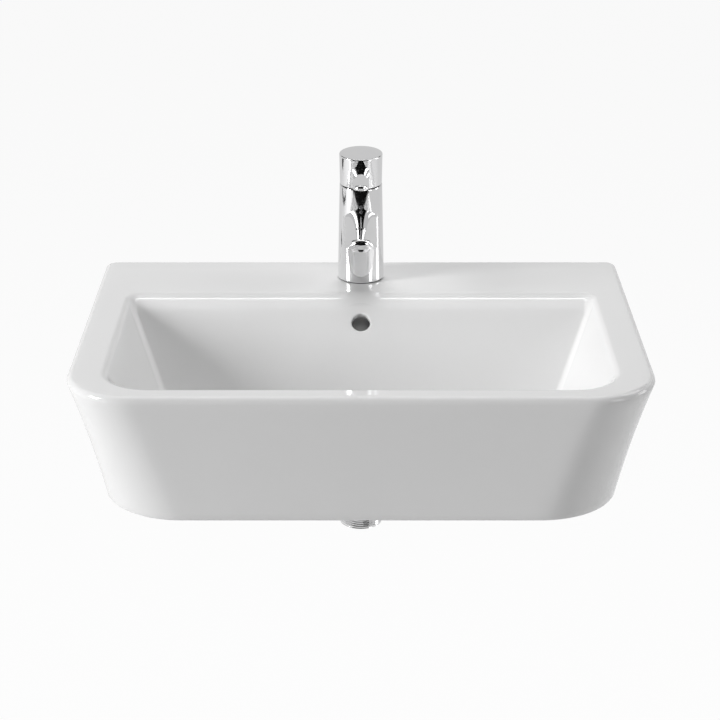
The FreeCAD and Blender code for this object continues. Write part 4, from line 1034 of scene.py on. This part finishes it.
def hexagon_nut(name, node, flats, bore, chamfer):
    """Hexagon nut with its corners turned down at both ends."""
    low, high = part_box(node)
    y = (low[1] + high[1]) / 2 / MM
    bottom, top = low[2] / MM, high[2] / MM
    columns = 144
    corner = flats / math.sqrt(3.0)
    rows = [(bore, bottom + 0.4, 0), (bore + 0.4, bottom, 0), (corner - chamfer * 1.7, bottom, 1)]
    rows += [(corner - chamfer, bottom + 0.15, 1), (corner - chamfer * 0.5, bottom + chamfer * 0.35, 1)]
    rows += [(corner, bottom + chamfer * 0.8, 1), (corner, top - chamfer * 0.8, 1)]
    rows += [(corner - chamfer * 0.5, top - chamfer * 0.35, 1), (corner - chamfer, top - 0.15, 1)]
    rows += [(corner - chamfer * 1.7, top, 1), (bore + 0.4, top, 0), (bore, top - 0.4, 0)]
    points = []
    for radius, z, outside in rows:
        for k in range(columns):
            turn = 2 * math.pi * k / columns
            face = (turn + math.pi / 6) % (math.pi / 3) - math.pi / 6
            side = flats / 2 / math.cos(math.pi / 6 - abs(face))
            points.append(polar(min(radius, side) if outside else radius, turn, z, y))
    return mesh_object(name, points, ring_faces(len(rows), columns, True), 25.0)


def plug():
    """Domed push plug with a rolled edge."""
    low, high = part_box("plug_cap")
    foot, top = low[2] / MM, high[2] / MM
    radius = (high[0] - low[0]) / 2 / MM
    rise = 1.9
    profile = [(0, foot + 3.0), (3.1, foot + 3.0), (3.1, foot + 0.2), (3.3, foot), (radius - 0.4, foot),
               (radius, foot + 0.4)]
    profile += arc(radius - 1.4, top - rise - 1.0, 1.4, 0, 78, 7)
    for share in (0.9, 0.8, 0.7, 0.6, 0.5, 0.4, 0.3, 0.2, 0.1, 0.0):
        profile.append((radius * share, top - rise * share ** 2))
    return finish(turned("push_plug", profile, DRAIN), "plug", "chrome", "plug_cap")


def waste_rings():
    """Seals, washer and nuts of the waste, and the nut and foot seal of the tap."""
    bore = TAIL_RADIUS + 0.3
    for name, node, edge, slot in (("flange_ring", "waste_flange_seal", 0.5, "rubber"),
                                   ("boss_ring", "waste_lower_seal", 1.4, "rubber"),
                                   ("slip_ring", "waste_slip_washer", 0.5, "plastic")):
        finish(soft_ring(name, node, bore, edge), "basin", slot, node)
    for name, node, flats, bore, chamfer in (("back_nut", "waste_backnut", 54.0, TAIL_RADIUS + 0.1, 2.5),
                                             ("stud_nut", "tap_fixing_nut", 13.0, 4.1, 0.8)):
        finish(hexagon_nut(name, node, flats, bore, chamfer), "basin", "brass", node)
    finish(soft_ring("foot_ring", "tap_base_seal", 19.0, 0.3), "basin", "rubber", "tap_base_seal")


def inner_pieces():
    """Pieces that keep their CAD shape get their finish."""
    slots = {entry["node"]: entry["material_slot"] for entry in frame["record"]["subparts"]}
    for name, item in frame["nodes"].items():
        if not item.data.materials:
            item.data.materials.append(None)
        for k in range(len(item.data.materials)):
            item.data.materials[k] = FINISHES[slots[name]]


# ---- room for the photograph: floor, lights, camera ---------------------------------------------
PALE_WALLS = 0.66
PALE_FLOOR = 0.6
FLOOR_SEEN = 0.94
FLOOR_LEVEL = -0.85
FLOOR_HALF = 9.0
AIM = Vector((0, -0.2, 0))

# camera, with its focal length and centre in pixels of the photograph
PICTURE = 720.0
FOCAL_LENGTH = 2044.6
CENTRE_SHIFT = -0.9
SENSOR = 36.0
CAMERA_PLACE = (0, -2.1331, 0.730)
LOOK_DOWN = 21.25


def sheet(name, corners):
    """One four-cornered face for the studio, in metres."""
    mesh = bpy.data.meshes.new(name)
    mesh.from_pydata(corners, [], [(0, 1, 2, 3)])
    return placed(name, mesh)


def floor():
    """Pale floor at the height that it has under a counter."""
    item = sheet("floor", [(-FLOOR_HALF, -FLOOR_HALF, FLOOR_LEVEL), (FLOOR_HALF, -FLOOR_HALF, FLOOR_LEVEL),
                           (FLOOR_HALF, FLOOR_HALF, FLOOR_LEVEL), (-FLOOR_HALF, FLOOR_HALF, FLOOR_LEVEL)])
    material = bpy.data.materials.new("pale floor")
    material.use_nodes = True
    nodes, links = material.node_tree.nodes, material.node_tree.links
    shader = nodes["Principled BSDF"]
    shader.inputs["Base Color"].default_value = (0.8, 0.8, 0.8, 1)
    shader.inputs["Roughness"].default_value = 0.8
    glow = nodes.new("ShaderNodeEmission")
    glow.inputs["Color"].default_value = (1, 1, 1, 1)
    path = nodes.new("ShaderNodeLightPath")
    total = None
    for ray, share in (("Is Camera Ray", FLOOR_SEEN), ("Is Glossy Ray", PALE_FLOOR),
                       ("Is Transmission Ray", PALE_FLOOR)):
        scaled = nodes.new("ShaderNodeMath")
        scaled.operation = "MULTIPLY_ADD"
        scaled.inputs[1].default_value = share
        scaled.inputs[2].default_value = 0.0
        links.new(path.outputs[ray], scaled.inputs[0])
        if total:
            links.new(total, scaled.inputs[2])
        total = scaled.outputs[0]
    mix = nodes.new("ShaderNodeMixShader")
    links.new(total, mix.inputs["Fac"])
    links.new(shader.outputs["BSDF"], mix.inputs[1])
    links.new(glow.outputs["Emission"], mix.inputs[2])
    links.new(mix.outputs["Shader"], nodes["Material Output"].inputs["Surface"])
    item.data.materials.append(material)


def world():
    """White to the camera, pale in reflections, and with no light of its own on matt faces."""
    sky = bpy.data.worlds.new("studio")
    bpy.context.scene.world = sky
    sky.use_nodes = True
    nodes, links = sky.node_tree.nodes, sky.node_tree.links
    path = nodes.new("ShaderNodeLightPath")
    ambient = nodes["Background"]
    ambient.inputs["Color"].default_value = (1, 1, 1, 1)
    ambient.inputs["Strength"].default_value = 0.0
    last = ambient.outputs["Background"]
    for ray, strength in (("Is Glossy Ray", PALE_WALLS), ("Is Transmission Ray", PALE_WALLS),
                          ("Is Camera Ray", 1.0)):
        level = nodes.new("ShaderNodeBackground")
        level.inputs["Color"].default_value = (1, 1, 1, 1)
        level.inputs["Strength"].default_value = strength
        mix = nodes.new("ShaderNodeMixShader")
        links.new(path.outputs[ray], mix.inputs["Fac"])
        links.new(last, mix.inputs[1])
        links.new(level.outputs["Background"], mix.inputs[2])
        last = mix.outputs["Shader"]
    links.new(last, nodes["World Output"].inputs["Surface"])


def softbox(name, way, distance, width, height, power):
    """Area lamp at a distance from the basin, facing it."""
    light = bpy.data.lights.new(name, "AREA")
    light.shape = "RECTANGLE"
    light.size = width
    light.size_y = height
    light.energy = power
    item = placed(name, light)
    way = Vector(way).normalized()
    item.location = AIM + way * distance
    item.rotation_euler = (-way).to_track_quat("-Z", "Y").to_euler()


def lights():
    softbox("left softbox", (-0.88, -0.33, 0.29), 4.5, 1.2, 1.8, 177.0)
    softbox("rear softbox", (0.0, 1.6, 2.0), 2.56, 1.6, 1.0, 28.0)
    softbox("upper front softbox", (0.0, -0.35, 0.94), 2.56, 1.2, 1.0, 15.0)
    softbox("right rear softbox", (1.8, 0.5, 1.8), 2.6, 1.2, 1.0, 9.1)
    softbox("right low softbox", (2.6, 0.3, 0.35), 2.64, 0.8, 1.2, 10.2)
    softbox("right front softbox", (2.0, -1.6, 0.5), 2.61, 0.8, 1.2, 9.5)
    softbox("front softbox", (0.0, -2.8, 0.3), 2.82, 1.5, 1.0, 0.5)


def black_card(name, corners):
    """Flag that is seen only in reflections."""
    item = sheet(name, corners)
    material = bpy.data.materials.new(name)
    material.use_nodes = True
    shader = material.node_tree.nodes["Principled BSDF"]
    shader.inputs["Base Color"].default_value = (0.01, 0.01, 0.01, 1)
    shader.inputs["Roughness"].default_value = 1.0
    shader.inputs["Specular IOR Level"].default_value = 0.0
    item.data.materials.append(material)
    item.visible_camera = False
    item.visible_diffuse = False
    item.visible_shadow = False


def black_cards():
    """One card ahead, two overhead, and two curving low round the left, for the dark shapes in the chrome."""
    black_card("front card", [(-2.6, -2.7, -0.8), (2.6, -2.7, -0.8), (2.6, -2.7, 2.2), (-2.6, -2.7, 2.2)])
    for name, near, far in (("overhead card", -1.8, -0.31), ("overhead rear card", 0.76, 1.9)):
        black_card(name, [(-2.0, near, 1.5), (2.0, near, 1.5), (2.0, far, 1.5), (-2.0, far, 1.5)])
    near, far, reach = math.radians(88.0), math.radians(124.0), 1.9
    for name, low, high in (("left low card", -0.508, -0.484), ("left high card", -0.396, -0.381)):
        points = []
        for turn, z in ((near, low), (far, low), (far, high), (near, high)):
            points.append((-reach * math.sin(turn), TAP_Y * MM - reach * math.cos(turn), z))
        black_card(name, points)


def camera():
    """Viewpoint found from the rim's corners."""
    data = bpy.data.cameras.new("camera")
    data.sensor_width = SENSOR
    data.lens = SENSOR * FOCAL_LENGTH / PICTURE
    data.shift_x = CENTRE_SHIFT / PICTURE
    item = placed("camera", data)
    item.location = CAMERA_PLACE
    item.rotation_euler = (math.radians(90.0 - LOOK_DOWN), 0, 0)
    bpy.context.scene.camera = item


camera()
world()
lights()
black_cards()
floor()
inner_pieces()
basin()
tap_body()
handle()
cartridge_dome()
marker()
aerator()
waste_tube()
waste_rings()
plug()

bpy.context.scene.view_settings.view_transform = "Standard"
